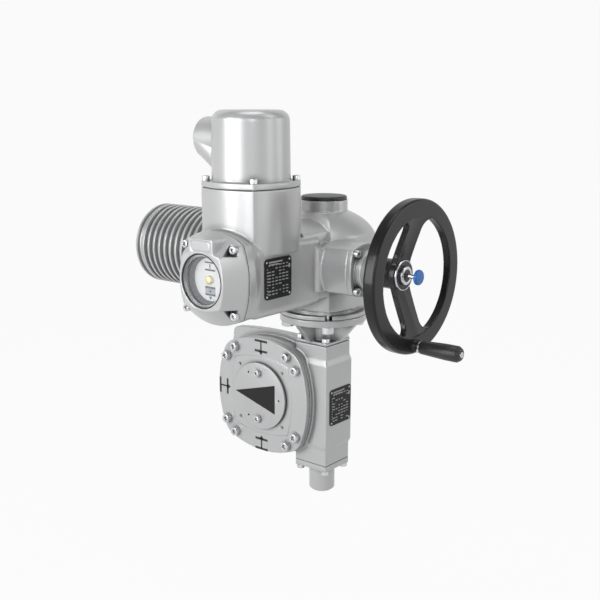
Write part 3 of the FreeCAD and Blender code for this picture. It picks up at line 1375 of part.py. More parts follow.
for make in (gear_housing, output_flange, input_adapter, gearbox_housing, gearbox_cover,
             gear_train, gearbox_worm, worm_end_cover, pointer, drive_train, motor,
             control_cover, window_and_dial, terminal_cover, stem_cap, handwheel_flange,
             handwheel, handwheel_fittings, plates, fasteners):
    began = time.time()
    make()
    print(f"{make.__name__} {time.time() - began:.1f} s", flush=True)
check_document()
write_parts()
for thing in SUBPARTS:
    print(f"{thing.Label:24s} solids {len(thing.Shape.Solids)} volume {thing.Shape.Volume:.0f}")
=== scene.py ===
import json
import math

import bmesh
import bpy
from mathutils import Matrix, Vector


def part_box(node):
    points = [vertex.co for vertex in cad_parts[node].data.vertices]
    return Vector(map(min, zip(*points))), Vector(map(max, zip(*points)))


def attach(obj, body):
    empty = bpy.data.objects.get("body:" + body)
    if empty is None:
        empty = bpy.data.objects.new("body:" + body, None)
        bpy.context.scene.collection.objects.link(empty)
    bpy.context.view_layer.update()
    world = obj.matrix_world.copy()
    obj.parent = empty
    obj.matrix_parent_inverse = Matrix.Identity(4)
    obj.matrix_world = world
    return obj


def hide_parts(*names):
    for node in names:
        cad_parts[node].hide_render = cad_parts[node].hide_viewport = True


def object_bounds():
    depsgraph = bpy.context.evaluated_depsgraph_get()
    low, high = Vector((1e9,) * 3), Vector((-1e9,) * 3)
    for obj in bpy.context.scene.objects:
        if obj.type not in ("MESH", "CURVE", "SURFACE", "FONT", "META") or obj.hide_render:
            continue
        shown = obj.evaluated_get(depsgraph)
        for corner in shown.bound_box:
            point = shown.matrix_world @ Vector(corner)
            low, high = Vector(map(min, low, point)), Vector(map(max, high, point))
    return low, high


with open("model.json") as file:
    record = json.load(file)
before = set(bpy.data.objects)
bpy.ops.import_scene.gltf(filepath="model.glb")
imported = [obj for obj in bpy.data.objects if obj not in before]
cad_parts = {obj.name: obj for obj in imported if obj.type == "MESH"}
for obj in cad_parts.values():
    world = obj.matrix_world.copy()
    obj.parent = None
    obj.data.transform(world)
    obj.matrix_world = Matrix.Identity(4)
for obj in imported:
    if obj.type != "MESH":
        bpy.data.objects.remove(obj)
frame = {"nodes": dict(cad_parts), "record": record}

nodes = frame["nodes"]
cadBox = [list(corner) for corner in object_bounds()]
slotOf = {part["node"]: part["material_slot"] for part in frame["record"]["subparts"]}
bodyOf = {name: body for body, names in frame["record"]["behaviour"]["bodies"].items()
          for name in names}
print("frame loaded", len(nodes), "nodes")

mm = 0.001
directions = {"x": Vector((1, 0, 0)), "y": Vector((0, 1, 0)), "z": Vector((0, 0, 1))}
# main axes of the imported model
shaftSpot = Vector((0, -0.088, 0.210))       # handwheel and motor, along x
dialSpot = Vector((0.078, 0, 0.212))         # window and dial, along y
controlSeam = -0.263                         # back of the control cover


# A node's socket: plain Python maths on it adds the Math nodes.
class Sock:
    def __init__(self, graph, socket):
        self.graph = graph
        self.socket = socket

    def maths(self, kind, first, second=0.0):
        return self.graph.node("ShaderNodeMath", {"operation": kind}, {0: first, 1: second})

    def __add__(self, other):
        return self.maths("ADD", self, other)

    def __radd__(self, other):
        return self.maths("ADD", other, self)

    def __sub__(self, other):
        return self.maths("SUBTRACT", self, other)

    def __rsub__(self, other):
        return self.maths("SUBTRACT", other, self)

    def __mul__(self, other):
        return self.maths("MULTIPLY", self, other)

    def __rmul__(self, other):
        return self.maths("MULTIPLY", other, self)

    def __gt__(self, other):
        return self.maths("GREATER_THAN", self, other)

    def held(self, low, high):
        return self.maths("MINIMUM", self.maths("MAXIMUM", self, low), high)


# A node tree: one method makes any node from its type, settings and sockets.
class Graph:
    def __init__(self, tree):
        self.tree = tree

    def node(self, kind, settings=None, sockets=None, out=0):
        made = self.tree.nodes.new(kind)
        for key, value in (settings or {}).items():
            setattr(made, key, value)
        for key, value in (sockets or {}).items():
            for one in value if isinstance(value, list) else [value]:
                if isinstance(one, Sock):
                    self.tree.links.new(one.socket, made.inputs[key])
                else:
                    made.inputs[key].default_value = one
        return Sock(self, made.outputs[out])


# finishes
class Finish(Graph):
    def __init__(self, name):
        self.material = bpy.data.materials.new(name)
        self.material.use_nodes = True
        super().__init__(self.material.node_tree)
        self.surface = self.tree.nodes["Principled BSDF"]
        self.here = self.node("ShaderNodeTexCoord", out="Object")

    def noise(self, scale, detail=3.0, stretch=None):
        where = self.here
        if stretch:
            where = self.node("ShaderNodeVectorMath", {"operation": "MULTIPLY"},
                              {0: where, 1: stretch})
        return self.node("ShaderNodeTexNoise", None,
                         {"Vector": where, "Scale": scale, "Detail": detail})

    def mixed(self, share, dark, light):
        ends = [one if isinstance(one, Sock) else (*one, 1) for one in (dark, light)]
        return self.node("ShaderNodeMix", {"data_type": "RGBA"},
                         {"Factor": share, 6: ends[0], 7: ends[1]}, out=2)

    def put(self, **values):
        names = {"colour": "Base Color", "metal": "Metallic", "rough": "Roughness",
                 "coat": "Coat Weight", "coatRough": "Coat Roughness", "alpha": "Alpha",
                 "ior": "IOR", "specular": "Specular IOR Level"}
        for key, value in values.items():
            socket = self.surface.inputs[names[key]]
            if isinstance(value, Sock):
                self.tree.links.new(value.socket, socket)
            else:
                socket.default_value = (*value, 1) if isinstance(value, tuple) else value
        return self

    def bump(self, height, depth, strength=1.0):
        made = self.node("ShaderNodeBump", None, {"Strength": strength, "Distance": depth,
                                                  "Height": height}, out="Normal")
        self.tree.links.new(made.socket, self.surface.inputs["Normal"])
        return self


# the last three entries set the painted shade: its dark colour, its reach in metres and its
# samples
castPaint = {"dark": (0.47, 0.473, 0.478), "light": (0.53, 0.533, 0.538), "metal": 0.40,
             "rough": 0.27, "specular": 0.5, "coat": 0.25, "coatRough": 0.18,
             "clouds": 11, "waves": 70, "grain": 950, "grainDepth": 0.00004,
             "cloudRough": 0.05, "grainRough": 0.10, "grainShare": 0.7, "waveShare": 0.3,
             "hollow": (0.04, 0.042, 0.045), "hollowReach": 0.016, "hollowSamples": 8}
# painted shade in hollows: how open a spot has to be for the full paint colour; the fins' gaps
# get less painted shade and stay lighter
hollowShade = {"casting": {"start": 0.35, "gain": 2.0}, "fins": {"start": -0.05, "gain": 1.5}}


def paintedCastingWithShade(name, start, gain):
    finish = Finish(name)
    clouds = finish.noise(castPaint["clouds"], 2)
    grain = finish.noise(castPaint["grain"], 2)
    waves = finish.noise(castPaint["waves"], 1)
    # painted shade: ambient occlusion darkens the colour in creases, pockets and seams
    openness = finish.node("ShaderNodeAmbientOcclusion",
                           {"samples": castPaint["hollowSamples"]},
                           {"Distance": castPaint["hollowReach"]}, out="AO")
    shade = ((openness - start) * gain).held(0.0, 1.0)
    paint = finish.mixed(clouds, castPaint["dark"], castPaint["light"])
    finish.put(colour=finish.mixed(shade, castPaint["hollow"], paint),
               rough=grain * castPaint["grainRough"] + clouds * castPaint["cloudRough"]
               + castPaint["rough"],
               **{key: castPaint[key] for key in ("metal", "specular", "coat", "coatRough")})
    height = grain * castPaint["grainShare"] + waves * castPaint["waveShare"]
    return finish.bump(height, castPaint["grainDepth"]).material


# what the metals share: scale of the turning rings, darkest share of the colour, how far the
# roughness goes up, and depth in metres
metalLook = {"rings": 4, "darkest": 0.9, "rougher": 0.12, "depth": 0.00001}


def turnedMetal(name, colour, rough, stretch=(60, 60, 900)):
    finish = Finish(name)
    rings = finish.noise(metalLook["rings"], 2, stretch)
    dark = tuple(c * metalLook["darkest"] for c in colour)
    finish.put(colour=finish.mixed(rings, dark, colour), metal=1.0,
               rough=rings * metalLook["rougher"] + rough)
    return finish.bump(rings, metalLook["depth"]).material


plasticLook = {"clouds": 30, "darkest": 0.85, "rougher": 0.10, "coatRough": 0.12}


def mouldedPlastic(name, colour, rough, depth=0.00003, grain=1500, specular=0.5, coat=0.0):
    finish = Finish(name)
    finish.put(specular=specular, coat=coat, coatRough=plasticLook["coatRough"])
    fine = finish.noise(grain, 2)
    clouds = finish.noise(plasticLook["clouds"], 2)
    dark = tuple(c * plasticLook["darkest"] for c in colour)
    finish.put(colour=finish.mixed(clouds, dark, colour),
               rough=fine * plasticLook["rougher"] + rough)
    return finish.bump(fine, depth).material


def clearGlass():
    finish = Finish("clearGlass")
    return finish.put(colour=(0.93, 0.96, 0.97), rough=0.02, alpha=0.10, ior=1.48).material


finishes = {
    "casting_paint": paintedCastingWithShade("castingPaintAndShade", **hollowShade["casting"]),
    "black_film": mouldedPlastic("blackFilm", (0.012, 0.012, 0.013), 0.42, 0.000005,
                                 specular=0.25),
    "gear_bronze": turnedMetal("gearBronze", (0.62, 0.42, 0.20), 0.28),
    "machined_steel": turnedMetal("machinedSteel", (0.50, 0.51, 0.52), 0.26),
    "core_steel": turnedMetal("coreSteel", (0.22, 0.22, 0.23), 0.5),
    "clear_glass": clearGlass(),
    "white_plastic": mouldedPlastic("dialWhite", (0.84, 0.85, 0.87), 0.42, 0.000004),
    "hub_brass": turnedMetal("hubBrass", (0.80, 0.74, 0.42), 0.25),
    "dark_plastic": mouldedPlastic("darkPlastic", (0.019, 0.019, 0.021), 0.36),
    "black_paint": mouldedPlastic("wheelBlack", (0.007, 0.007, 0.008), 0.36, 0.00003, 900,
                                  0.2, coat=0.30),
    "bright_chrome": turnedMetal("brightChrome", (0.56, 0.56, 0.58), 0.14),
    "blue_plastic": mouldedPlastic("buttonBlue", (0.030, 0.190, 0.600), 0.28, 0.000008),
    "bolt_steel": turnedMetal("boltSteel", (0.62, 0.63, 0.64), 0.24, (500, 500, 500)),
}
markInk = mouldedPlastic("markInk", (0.035, 0.035, 0.038), 0.5, 0.000004)
printWhite = mouldedPlastic("printWhite", (0.52, 0.53, 0.54), 0.5, 0.000004)
panelGrey = mouldedPlastic("panelGrey", (0.36, 0.39, 0.44), 0.5, 0.000004)
finPaintAndShade = paintedCastingWithShade("finPaintAndShade", **hollowShade["fins"])
dullBrass = turnedMetal("dullBrass", (0.34, 0.31, 0.18), 0.4)
for name, obj in nodes.items():
    obj.data.materials.clear()
    obj.data.materials.append(finishes[slotOf[name]])
print("finishes on", len(slotOf), "nodes")


# shared making
joinWithin = 1e-6            # metres at which corners count as one
poleWithin = 1e-7            # the same for the poles of a lathe piece


def show(mesh, name, body, slot, finish=None, replaced=None):
    piece = bpy.data.objects.new(name, mesh)
    bpy.context.collection.objects.link(piece)
    if not mesh.materials:
        mesh.materials.append(finish or finishes[slot])
    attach(piece, body)
    if replaced:
        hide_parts(replaced)
    return piece


def plainMesh(carrier):
    # the evaluated modifiers as a plain mesh; the carrier goes
    view = bpy.context.evaluated_depsgraph_get()
    mesh = bpy.data.meshes.new_from_object(carrier.evaluated_get(view))
    bpy.data.objects.remove(carrier)
    return mesh


def mergedCopy(name):
    # a copy of a node's triangles, joined at their corners
    shape = bmesh.new()
    shape.from_mesh(nodes[name].data)
    bmesh.ops.remove_doubles(shape, verts=shape.verts, dist=joinWithin)
    mesh = bpy.data.meshes.new(name + "Merged")
    shape.to_mesh(mesh)
    shape.free()
    carrier = bpy.data.objects.new(name + "Carrier", mesh)
    bpy.context.collection.objects.link(carrier)
    return carrier


def shadeByAngle(mesh, degrees):
    mesh.shade_smooth()
    mesh.set_sharp_from_angle(angle=math.radians(degrees))


# castings with soft edges
# voxel in mm, rounds of smoothing, share of faces kept, and the machined planes kept sharp
castings = {
    "gear_housing": {"voxel": 1.1, "rounds": 7, "share": 0.34,
                     "sharp": (("x", -24), ("x", 176), ("y", -263), ("z", 144), ("z", 322),
                               ("z", 294.1))},
    "gearbox_housing": {"voxel": 1.0, "rounds": 5, "share": 0.5,
                        "sharp": (("y", 0), ("z", 93.3), ("z", -91.5))},
    "gearbox_cover": {"voxel": 0.6, "rounds": 3, "share": 0.4, "sharp": (("y", -85),)},
    "control_cover": {"voxel": 0.6, "rounds": 4, "share": 0.7, "sharp": (("y", -263),),
                      "groove": {"spot": (78, 255.4), "half": (16.5, 6.4), "corner": 4.5,
                                 "wide": 2.0, "deep": 0.9, "face": -291.5, "near": 0.3}},
    "terminal_cover": {"voxel": 0.9, "rounds": 9, "share": 0.6, "sharp": (("z", 322),)},
    "input_adapter": {"voxel": 0.8, "rounds": 3, "share": 0.8, "sharp": (("z", 132),)},
    "handwheel_flange": {"voxel": 0.6, "rounds": 3, "share": 0.8, "sharp": (("x", 176),)},
    "handwheel": {"voxel": 0.8, "rounds": 11, "share": 0.8, "sharp": ()},
}


def pressGroove(mesh, spot, half, corner, wide, deep, face, near):
    # a bare frame pressed into the front face, along a rounded rectangle
    for vertex in mesh.vertices:
        if vertex.co.y > (face + near) * mm:
            continue
        out = Vector([max(0.0, abs(vertex.co[axis] / mm - spot[i]) - half[i] + corner)
                      for i, axis in enumerate((0, 2))])
        inside = max(abs(vertex.co[axis] / mm - spot[i]) - half[i]
                     for i, axis in enumerate((0, 2)))
        away = abs(out.length - corner if out.length > 0 else inside)
        if away < wide / 2:
            vertex.co.y += deep * mm * (1 - (2 * away / wide) ** 2)


# pull of one round, its least share on a machined plane, and the mm over which the share
# grows to full away from that plane
softening = {"pull": 0.5, "least": 0.15, "flat": 1.0, "blend": 3.0}
castShade, edgeShade, screwShade, shellShade = 50, 34, 35, 40     # angles of sharp shading


def softCasting(name, voxel, rounds, share, sharp, groove=None):
    carrier = mergedCopy(name)
    remesh = carrier.modifiers.new("grid", "REMESH")
    remesh.mode = "VOXEL"
    remesh.voxel_size = voxel * mm
    carrier.data = bpy.data.meshes.new_from_object(
        carrier.evaluated_get(bpy.context.evaluated_depsgraph_get()))
    carrier.modifiers.remove(remesh)
    if groove:
        pressGroove(carrier.data, **groove)
    soft = carrier.vertex_groups.new(name="soft")
    for vertex in carrier.data.vertices:
        nearest = min([abs(vertex.co[ord(axis) - ord("x")] - level * mm)
                       for axis, level in sharp] or [1.0])
        grown = (nearest / mm - softening["flat"]) / softening["blend"]
        soft.add([vertex.index], min(1.0, max(softening["least"], grown)), "REPLACE")
    smooth = carrier.modifiers.new("soften", "SMOOTH")
    smooth.factor = softening["pull"]
    smooth.iterations = rounds
    smooth.vertex_group = "soft"
    thin = carrier.modifiers.new("thin", "DECIMATE")
    thin.ratio = share
    mesh = plainMesh(carrier)
    shadeByAngle(mesh, castShade)
    print("cast", name, len(mesh.polygons), "faces")
    return show(mesh, name + "Cast", bodyOf[name], slotOf[name], replaced=name)


for castName, castSizes in castings.items():
    softCasting(castName, **castSizes)


# machined pieces
# width of the broken edge in mm
brokenEdges = {
    "output_flange": 0.6, "worm_end_cover": 0.8, "stem_cap": 0.8,
    "pointer_disc": 0.4, "hub_ring": 0.35, "hub_nut": 0.5, "hub_washer": 0.2,
    "push_button": 0.8, "button_rod": 0.3, "crank_grip": 1.6, "grip_pin": 0.5,
    "entry_plug": 0.6, "indicator_hub": 0.4, "cover_pins": 0.2,
}
ownFinish = {"cover_pins": dullBrass}
flatWithin = 0.6             # degrees at which neighbouring faces count as one
edgeSteps = 3                # steps across a broken edge


def brokenEdge(name, width):
    carrier = mergedCopy(name)
    shape = bmesh.new()
    shape.from_mesh(carrier.data)
    bmesh.ops.dissolve_limit(shape, angle_limit=math.radians(flatWithin), verts=shape.verts,
                             edges=shape.edges)
    shape.to_mesh(carrier.data)
    shape.free()
    bevel = carrier.modifiers.new("edge", "BEVEL")
    bevel.width = width * mm
    bevel.segments = edgeSteps
    bevel.limit_method = "ANGLE"
    bevel.angle_limit = math.radians(edgeShade)
    mesh = plainMesh(carrier)
    shadeByAngle(mesh, edgeShade)
    return show(mesh, name + "Turned", bodyOf[name], slotOf[name], finish=ownFinish.get(name),
                replaced=name)


for edgeName, edgeWidth in brokenEdges.items():
    brokenEdge(edgeName, edgeWidth)
print("broken edges on", len(brokenEdges), "pieces")


# screws and bolts
def ringStack(rings, count=36):
    # rings of (flats or None, radius, height) about z, closed at both ends
    shape = bmesh.new()
    loops = []
    for flats, radius, height in rings:
        loop = []
        for i in range(count):
            turn = 2 * math.pi * i / count
            reach = radius
            if flats:
                slant = (turn + math.pi / 6) % (math.pi / 3) - math.pi / 6
                reach = min(radius, flats / math.cos(slant))
            loop.append(shape.verts.new((reach * math.cos(turn), reach * math.sin(turn),
                                         height)))
        loops.append(loop)
    for low, high in zip(loops, loops[1:]):
        for i in range(count):
            j = (i + 1) % count
            shape.faces.new((low[i], low[j], high[j], high[i]))
    shape.faces.new(list(reversed(loops[0])))
    shape.faces.new(loops[-1])
    bmesh.ops.recalc_face_normals(shape, faces=shape.faces)
    return shape


# from the shank's end to the socket's floor; the numbers are shares of the screw's own sizes
def socketScrew(size):
    head, high, shank, long = (size[k] * mm for k in ("head", "high", "shank", "long"))
    flats, deep = head * 0.5, high * 0.62
    edge = head * 0.12
    return ringStack([
        (None, shank * 0.7, -long), (None, shank, -long + shank * 0.3), (None, shank, 0),
        (None, head - edge * 0.3, 0), (None, head, edge * 0.3), (None, head, high - edge),
        (None, head - edge * 0.3, high - edge * 0.3), (None, head - edge, high),
        (None, flats * 1.22, high), (None, flats * 1.16, high - edge * 0.4),
        (flats, flats * 1.16, high - edge * 0.5), (flats, flats * 1.16, high - deep),
        (None, flats * 0.2, high - deep * 1.15)])


# from the shank's end to the head's top
def hexBolt(size):
    flats, high, shank, long = (size[k] * mm for k in ("head", "high", "shank", "long"))
    corner = flats / math.cos(math.pi / 6)
    return ringStack([
        (None, shank * 0.8, -long), (None, shank, -long + shank * 0.25), (None, shank, 0),
        (None, flats * 0.94, 0), (None, flats * 0.94, high * 0.06), (flats, corner, high * 0.1),
        (flats, corner, high * 0.86), (flats, flats * 1.05, high * 0.97),
        (flats, flats * 0.94, high), (None, flats * 0.9, high)])


def fastenerTree():
    # one fastener on every point, each turned by its own amount about its axis
    tree = bpy.data.node_groups.new("fastenerRow", "GeometryNodeTree")
    for label, kind in (("Spots", "NodeSocketGeometry"), ("Fastener", "NodeSocketObject"),
                        ("Axis", "NodeSocketVector"), ("Seed", "NodeSocketInt"),
                        ("Finish", "NodeSocketMaterial")):
        tree.interface.new_socket(label, in_out="INPUT", socket_type=kind)
    tree.interface.new_socket("Row", in_out="OUTPUT", socket_type="NodeSocketGeometry")
    graph = Graph(tree)
    given = tree.nodes.new("NodeGroupInput")
    taken = {s.name: Sock(graph, s) for s in given.outputs}
    one = graph.node("GeometryNodeObjectInfo", None, {"Object": taken["Fastener"]},
                     out="Geometry")
    turn = graph.node("FunctionNodeRandomValue", {"data_type": "FLOAT"},
                      {2: 0.0, 3: 2 * math.pi, "Seed": taken["Seed"]}, out=1)
    around = graph.node("ShaderNodeVectorMath", {"operation": "SCALE"},
                        {0: taken["Axis"], "Scale": turn})
    turned = graph.node("FunctionNodeEulerToRotation", None, {0: around})
    row = graph.node("GeometryNodeInstanceOnPoints", None,
                     {"Points": taken["Spots"], "Instance": one, "Rotation": turned})
    real = graph.node("GeometryNodeRealizeInstances", None, {0: row})
    coated = graph.node("GeometryNodeSetMaterial", None,
                        {"Geometry": real, "Material": taken["Finish"]})
    end = tree.nodes.new("NodeGroupOutput")
    tree.links.new(coated.socket, end.inputs[0])
    return tree


def grow(name, mesh, tree, **inputs):
    # a carrier with the tree on it, its inputs set by identifier, as a plain mesh
    carrier = bpy.data.objects.new(name + "Carrier", mesh)
    bpy.context.collection.objects.link(carrier)
    modifier = carrier.modifiers.new(tree.name, "NODES")
    modifier.node_group = tree
    sockets = {item.name: item.identifier for item in tree.interface.items_tree
               if item.in_out == "INPUT"}
    for label, value in inputs.items():
        modifier[sockets[label]] = value
    return plainMesh(carrier)


def islands(name):
    # the middle and corners of every loose part of a node
    shape = bmesh.new()
    shape.from_mesh(nodes[name].data)
    bmesh.ops.remove_doubles(shape, verts=shape.verts, dist=joinWithin)
    left, found = set(shape.verts), []
    while left:
        reached, edge = set(), [left.pop()]
        while edge:
            vertex = edge.pop()
            reached.add(vertex)
            for link in vertex.link_edges:
                other = link.other_vert(vertex)
                if other in left:
                    left.discard(other)
                    edge.append(other)
        low = Vector([min(v.co[i] for v in reached) for i in range(3)])
        high = Vector([max(v.co[i] for v in reached) for i in range(3)])
        found.append((low, high))
    shape.free()
    return sorted(found, key=lambda pair: tuple(round(c, 5) for c in pair[0]))


m6 = {"head": 5.0, "high": 6.0, "shank": 3.0, "long": 13.5}
m6Short = {**m6, "long": 6.0}
m6End = {**m6, "long": 9.0}
m8 = {"head": 6.5, "high": 8.0, "shank": 4.0, "long": 24.0}
cornerBolt = {"head": 5.2, "high": 6.2, "shank": 3.0, "long": 16.0}
flangeBolt = {"head": 8.0, "high": 10.2, "shank": 5.0, "long": 21.0}
fasteners = {
    "control_cover_screws": {"make": socketScrew, "size": m6, "points": "-y", "seed": 3},
    "terminal_cover_screws": {"make": socketScrew, "size": m6, "points": "+z", "seed": 5},
    "bearing_screws": {"make": socketScrew, "size": m6, "points": "+x", "seed": 7},
    "gearbox_cover_screws": {"make": socketScrew, "size": m8, "points": "-y", "seed": 11},
    "pointer_screws": {"make": socketScrew, "size": m6Short, "points": "-y", "seed": 13},
    "motor_cover_screws": {"make": socketScrew, "size": m6End, "points": "-x", "seed": 17},
    "adapter_bolts": {"make": hexBolt, "size": flangeBolt, "points": "-z", "seed": 19},
    "adapter_foot_screws": {"make": hexBolt, "size": cornerBolt, "points": "+z", "seed": 23},
    "end_cover_screws": {"make": hexBolt, "size": cornerBolt, "points": "-z", "seed": 29},
}


def fastenerRow(name, tree, make, size, points, seed):
    axis = directions[points[1]]
    outward = axis if points[0] == "+" else -axis
    index = "xyz".index(points[1])
    spots = []
    for low, high in islands(name):
        spot = (low + high) / 2
        top = high[index] if points[0] == "+" else low[index]
        spot[index] = top - outward[index] * size["high"] * mm
        spots.append(spot)
    master = bpy.data.meshes.new(name + "Master")
    shape = make(size)
    bmesh.ops.rotate(shape, verts=shape.verts, cent=(0, 0, 0),
                     matrix=directions["z"].rotation_difference(outward).to_matrix())
    shape.to_mesh(master)
    shape.free()
    shadeByAngle(master, screwShade)
    holder = bpy.data.objects.new(name + "Master", master)
    bpy.context.collection.objects.link(holder)
    row = bpy.data.meshes.new(name + "Spots")
    row.from_pydata(spots, [], [])
    mesh = grow(name, row, tree, Fastener=holder, Axis=tuple(axis), Seed=seed,
                Finish=finishes["bolt_steel"])
    bpy.data.objects.remove(holder)
    return show(mesh, name + "Row", bodyOf[name], slotOf[name], replaced=name)


rowTree = fastenerTree()
for rowName, rowSizes in fasteners.items():
    fastenerRow(rowName, rowTree, **rowSizes)
print("fasteners in", len(fasteners), "rows")

# motor shell with its fins
# in mm along the shaft and out from it; the fins stand every pitch
motorShell = {"start": -24.0, "bore": 42.0, "core": 55.0, "fin": 61.0, "wide": 4.2,
              "pitch": 11.8, "count": 15, "edge": 0.9}
shellRound = {"steps": 144, "edgeSteps": 4, "tubeEdge": 0.2, "finSunk": 2.0}


def shellTree():
    # a tube and a row of ring fins about x, every fin a rounded bar bent to a ring
    tree = bpy.data.node_groups.new("finnedShell", "GeometryNodeTree")
    labels = ("Start", "Bore", "Core", "Fin", "Wide", "Pitch", "Edge")
    for label in labels:
        tree.interface.new_socket(label, in_out="INPUT", socket_type="NodeSocketFloat")
    tree.interface.new_socket("Count", in_out="INPUT", socket_type="NodeSocketInt")
    tree.interface.new_socket("Finish", in_out="INPUT", socket_type="NodeSocketMaterial")
    tree.interface.new_socket("Shell", in_out="OUTPUT", socket_type="NodeSocketGeometry")
    graph = Graph(tree)
    given = tree.nodes.new("NodeGroupInput")
    taken = {s.name: Sock(graph, s) for s in given.outputs}

    def ring(inner, outer, wide, edge):
        path = graph.node("GeometryNodeCurvePrimitiveCircle", {"mode": "RADIUS"},
                          {"Resolution": shellRound["steps"], "Radius": (inner + outer) * 0.5})
        level = graph.node("GeometryNodeSetCurveNormal", {"mode": "Z_UP"}, {"Curve": path})
        bar = graph.node("GeometryNodeCurvePrimitiveQuadrilateral", {"mode": "RECTANGLE"},
                         {"Width": outer - inner, "Height": wide})
        bent = graph.node("GeometryNodeFilletCurve", {"mode": "POLY"},
                          {"Curve": bar, "Count": shellRound["edgeSteps"], "Radius": edge})
        return graph.node("GeometryNodeCurveToMesh", None,
                          {"Curve": level, "Profile Curve": bent})

    fin = ring(taken["Core"] - shellRound["finSunk"] * mm, taken["Fin"], taken["Wide"],
               taken["Edge"])
    step = graph.node("ShaderNodeCombineXYZ", None, {"Z": taken["Pitch"]})
    half = taken["Wide"] * 0.5
    first = graph.node("ShaderNodeCombineXYZ", None, {"Z": half})
    line = graph.node("GeometryNodeMeshLine", {"mode": "OFFSET", "count_mode": "TOTAL"},
                      {"Count": taken["Count"], "Start Location": first, "Offset": step})
    fins = graph.node("GeometryNodeInstanceOnPoints", None, {"Points": line, "Instance": fin})
    real = graph.node("GeometryNodeRealizeInstances", None, {0: fins})
    length = taken["Pitch"] * (taken["Count"] - 1) + taken["Wide"]
    tube = ring(taken["Bore"], taken["Core"], length, shellRound["tubeEdge"] * mm)
    middle = graph.node("ShaderNodeCombineXYZ", None, {"Z": length * 0.5})
    placed = graph.node("GeometryNodeTransform", None, {"Geometry": tube,
                                                        "Translation": middle})
    whole = graph.node("GeometryNodeJoinGeometry", None, {0: [real, placed]})
    start = graph.node("ShaderNodeCombineXYZ", None, {"X": taken["Start"],
                                                      "Y": shaftSpot.y, "Z": shaftSpot.z})
    laid = graph.node("GeometryNodeTransform", None,
                      {"Geometry": whole, "Translation": start,
                       "Rotation": (0, -math.pi / 2, 0)})
    coated = graph.node("GeometryNodeSetMaterial", None,
                        {"Geometry": laid, "Material": taken["Finish"]})
    end = tree.nodes.new("NodeGroupOutput")
    tree.links.new(coated.socket, end.inputs[0])
    return tree


def outwardFaces(mesh):
    shape = bmesh.new()
    shape.from_mesh(mesh)
    bmesh.ops.remove_doubles(shape, verts=shape.verts, dist=joinWithin)
    bmesh.ops.recalc_face_normals(shape, faces=shape.faces)
    shape.to_mesh(mesh)
    shape.free()
    return mesh


shellMesh = grow("motorShell", bpy.data.meshes.new("motorShell"), shellTree(),
                 Start=motorShell["start"] * mm, Bore=motorShell["bore"] * mm,
                 Core=motorShell["core"] * mm, Fin=motorShell["fin"] * mm,
                 Wide=motorShell["wide"] * mm, Pitch=motorShell["pitch"] * mm,
                 Count=motorShell["count"], Edge=motorShell["edge"] * mm,
                 Finish=finPaintAndShade)
outwardFaces(shellMesh)
shadeByAngle(shellMesh, shellShade)
show(shellMesh, "motorFinnedShell", "unit", "casting_paint", replaced="motor_housing")
print("motor shell", len(shellMesh.polygons), "faces")


# window
def lathe(profile, spot, direction, count=120):
    # a closed ring of (radius, height) in mm turned about an axis through the spot
    shape = bmesh.new()
    turn = directions["z"].rotation_difference(direction).to_matrix()
    loops = []
    for i in range(count):
        angle = 2 * math.pi * i / count
        loops.append([shape.verts.new(spot + turn @ Vector((r * mm * math.cos(angle),
                                                            r * mm * math.sin(angle),
                                                            h * mm)))
                      for r, h in profile])
    for i, loop in enumerate(loops):
        follow = loops[(i + 1) % count]
        for j in range(len(profile)):
            k = (j + 1) % len(profile)
            shape.faces.new((loop[j], follow[j], follow[k], loop[k]))
    bmesh.ops.remove_doubles(shape, verts=shape.verts, dist=poleWithin)
    bmesh.ops.recalc_face_normals(shape, faces=shape.faces)
    mesh = bpy.data.meshes.new("lathe")
    shape.to_mesh(mesh)
    shape.free()
    shadeByAngle(mesh, screwShade)
    return mesh


# the end cover carries on the row of fins; heights in mm beyond the shell
endCap = [(0, 8), (5.1, 8), (5.1, -16), (16, -16), (16, 0), (59.7, 0), (61, 1.2), (61, 3.0),
          (60, 4.2), (56, 4.8), (55.4, 5.6), (55.4, 9.8), (56, 10.8), (60, 11.4), (61, 12.4),
          (60.6, 14.2), (58.6, 15.6), (56, 16), (0, 16)]
endHigh = 16                 # mm from the end cover's seat to its face
endSpot = Vector((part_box("motor_end_cover")[0].x + endHigh * mm, shaftSpot.y, shaftSpot.z))
windowSpot = Vector((dialSpot.x, controlSeam, dialSpot.z))
# heights in mm in front of the control cover's back
bezel = [(34.40, 19.0), (34.40, 26.6), (33.0, 26.6), (32.6, 25.4), (31.9, 25.4), (31.5, 24.2),
         (30.9, 24.2), (30.5, 23.05), (32.0, 23.05), (32.0, 19.0)]
rimSeal = [(34.42, 26.7), (34.42, 28.3), (34.0, 28.5), (33.3, 28.3), (33.0, 27.6), (33.2, 26.7)]
innerSeal = [(29.4, 18.0), (29.4, 12.6), (28.2, 12.6), (28.2, 13.4), (28.9, 13.8), (28.9, 18.0)]
show(lathe(endCap, endSpot, -directions["x"], shellRound["steps"]), "motorEndCap", "unit",
     "casting_paint", finish=finPaintAndShade, replaced="motor_end_cover")
show(lathe(bezel, windowSpot, -directions["y"]), "windowBezel", "unit", "machined_steel",
     replaced="glass_ring")
show(lathe(rimSeal, windowSpot, -directions["y"]), "windowRimSeal", "unit", "dark_plastic")
show(lathe(innerSeal, windowSpot, -directions["y"]), "windowInnerSeal", "unit", "dark_plastic")
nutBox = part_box("hub_nut")
nutSpot = Vector((nutBox[1].x, shaftSpot.y, shaftSpot.z))
# outer and top edge as shares of the nut's reach, the rest in mm
nutRing = {"outer": 0.60, "top": 0.56, "gap": 0.3, "low": -0.4, "edge": 0.15, "high": 0.25}
nutReach = (nutBox[1].z - nutBox[0].z) / 2 / mm
rodReach = (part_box("button_rod")[1].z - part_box("button_rod")[0].z) / 2 / mm + nutRing["gap"]
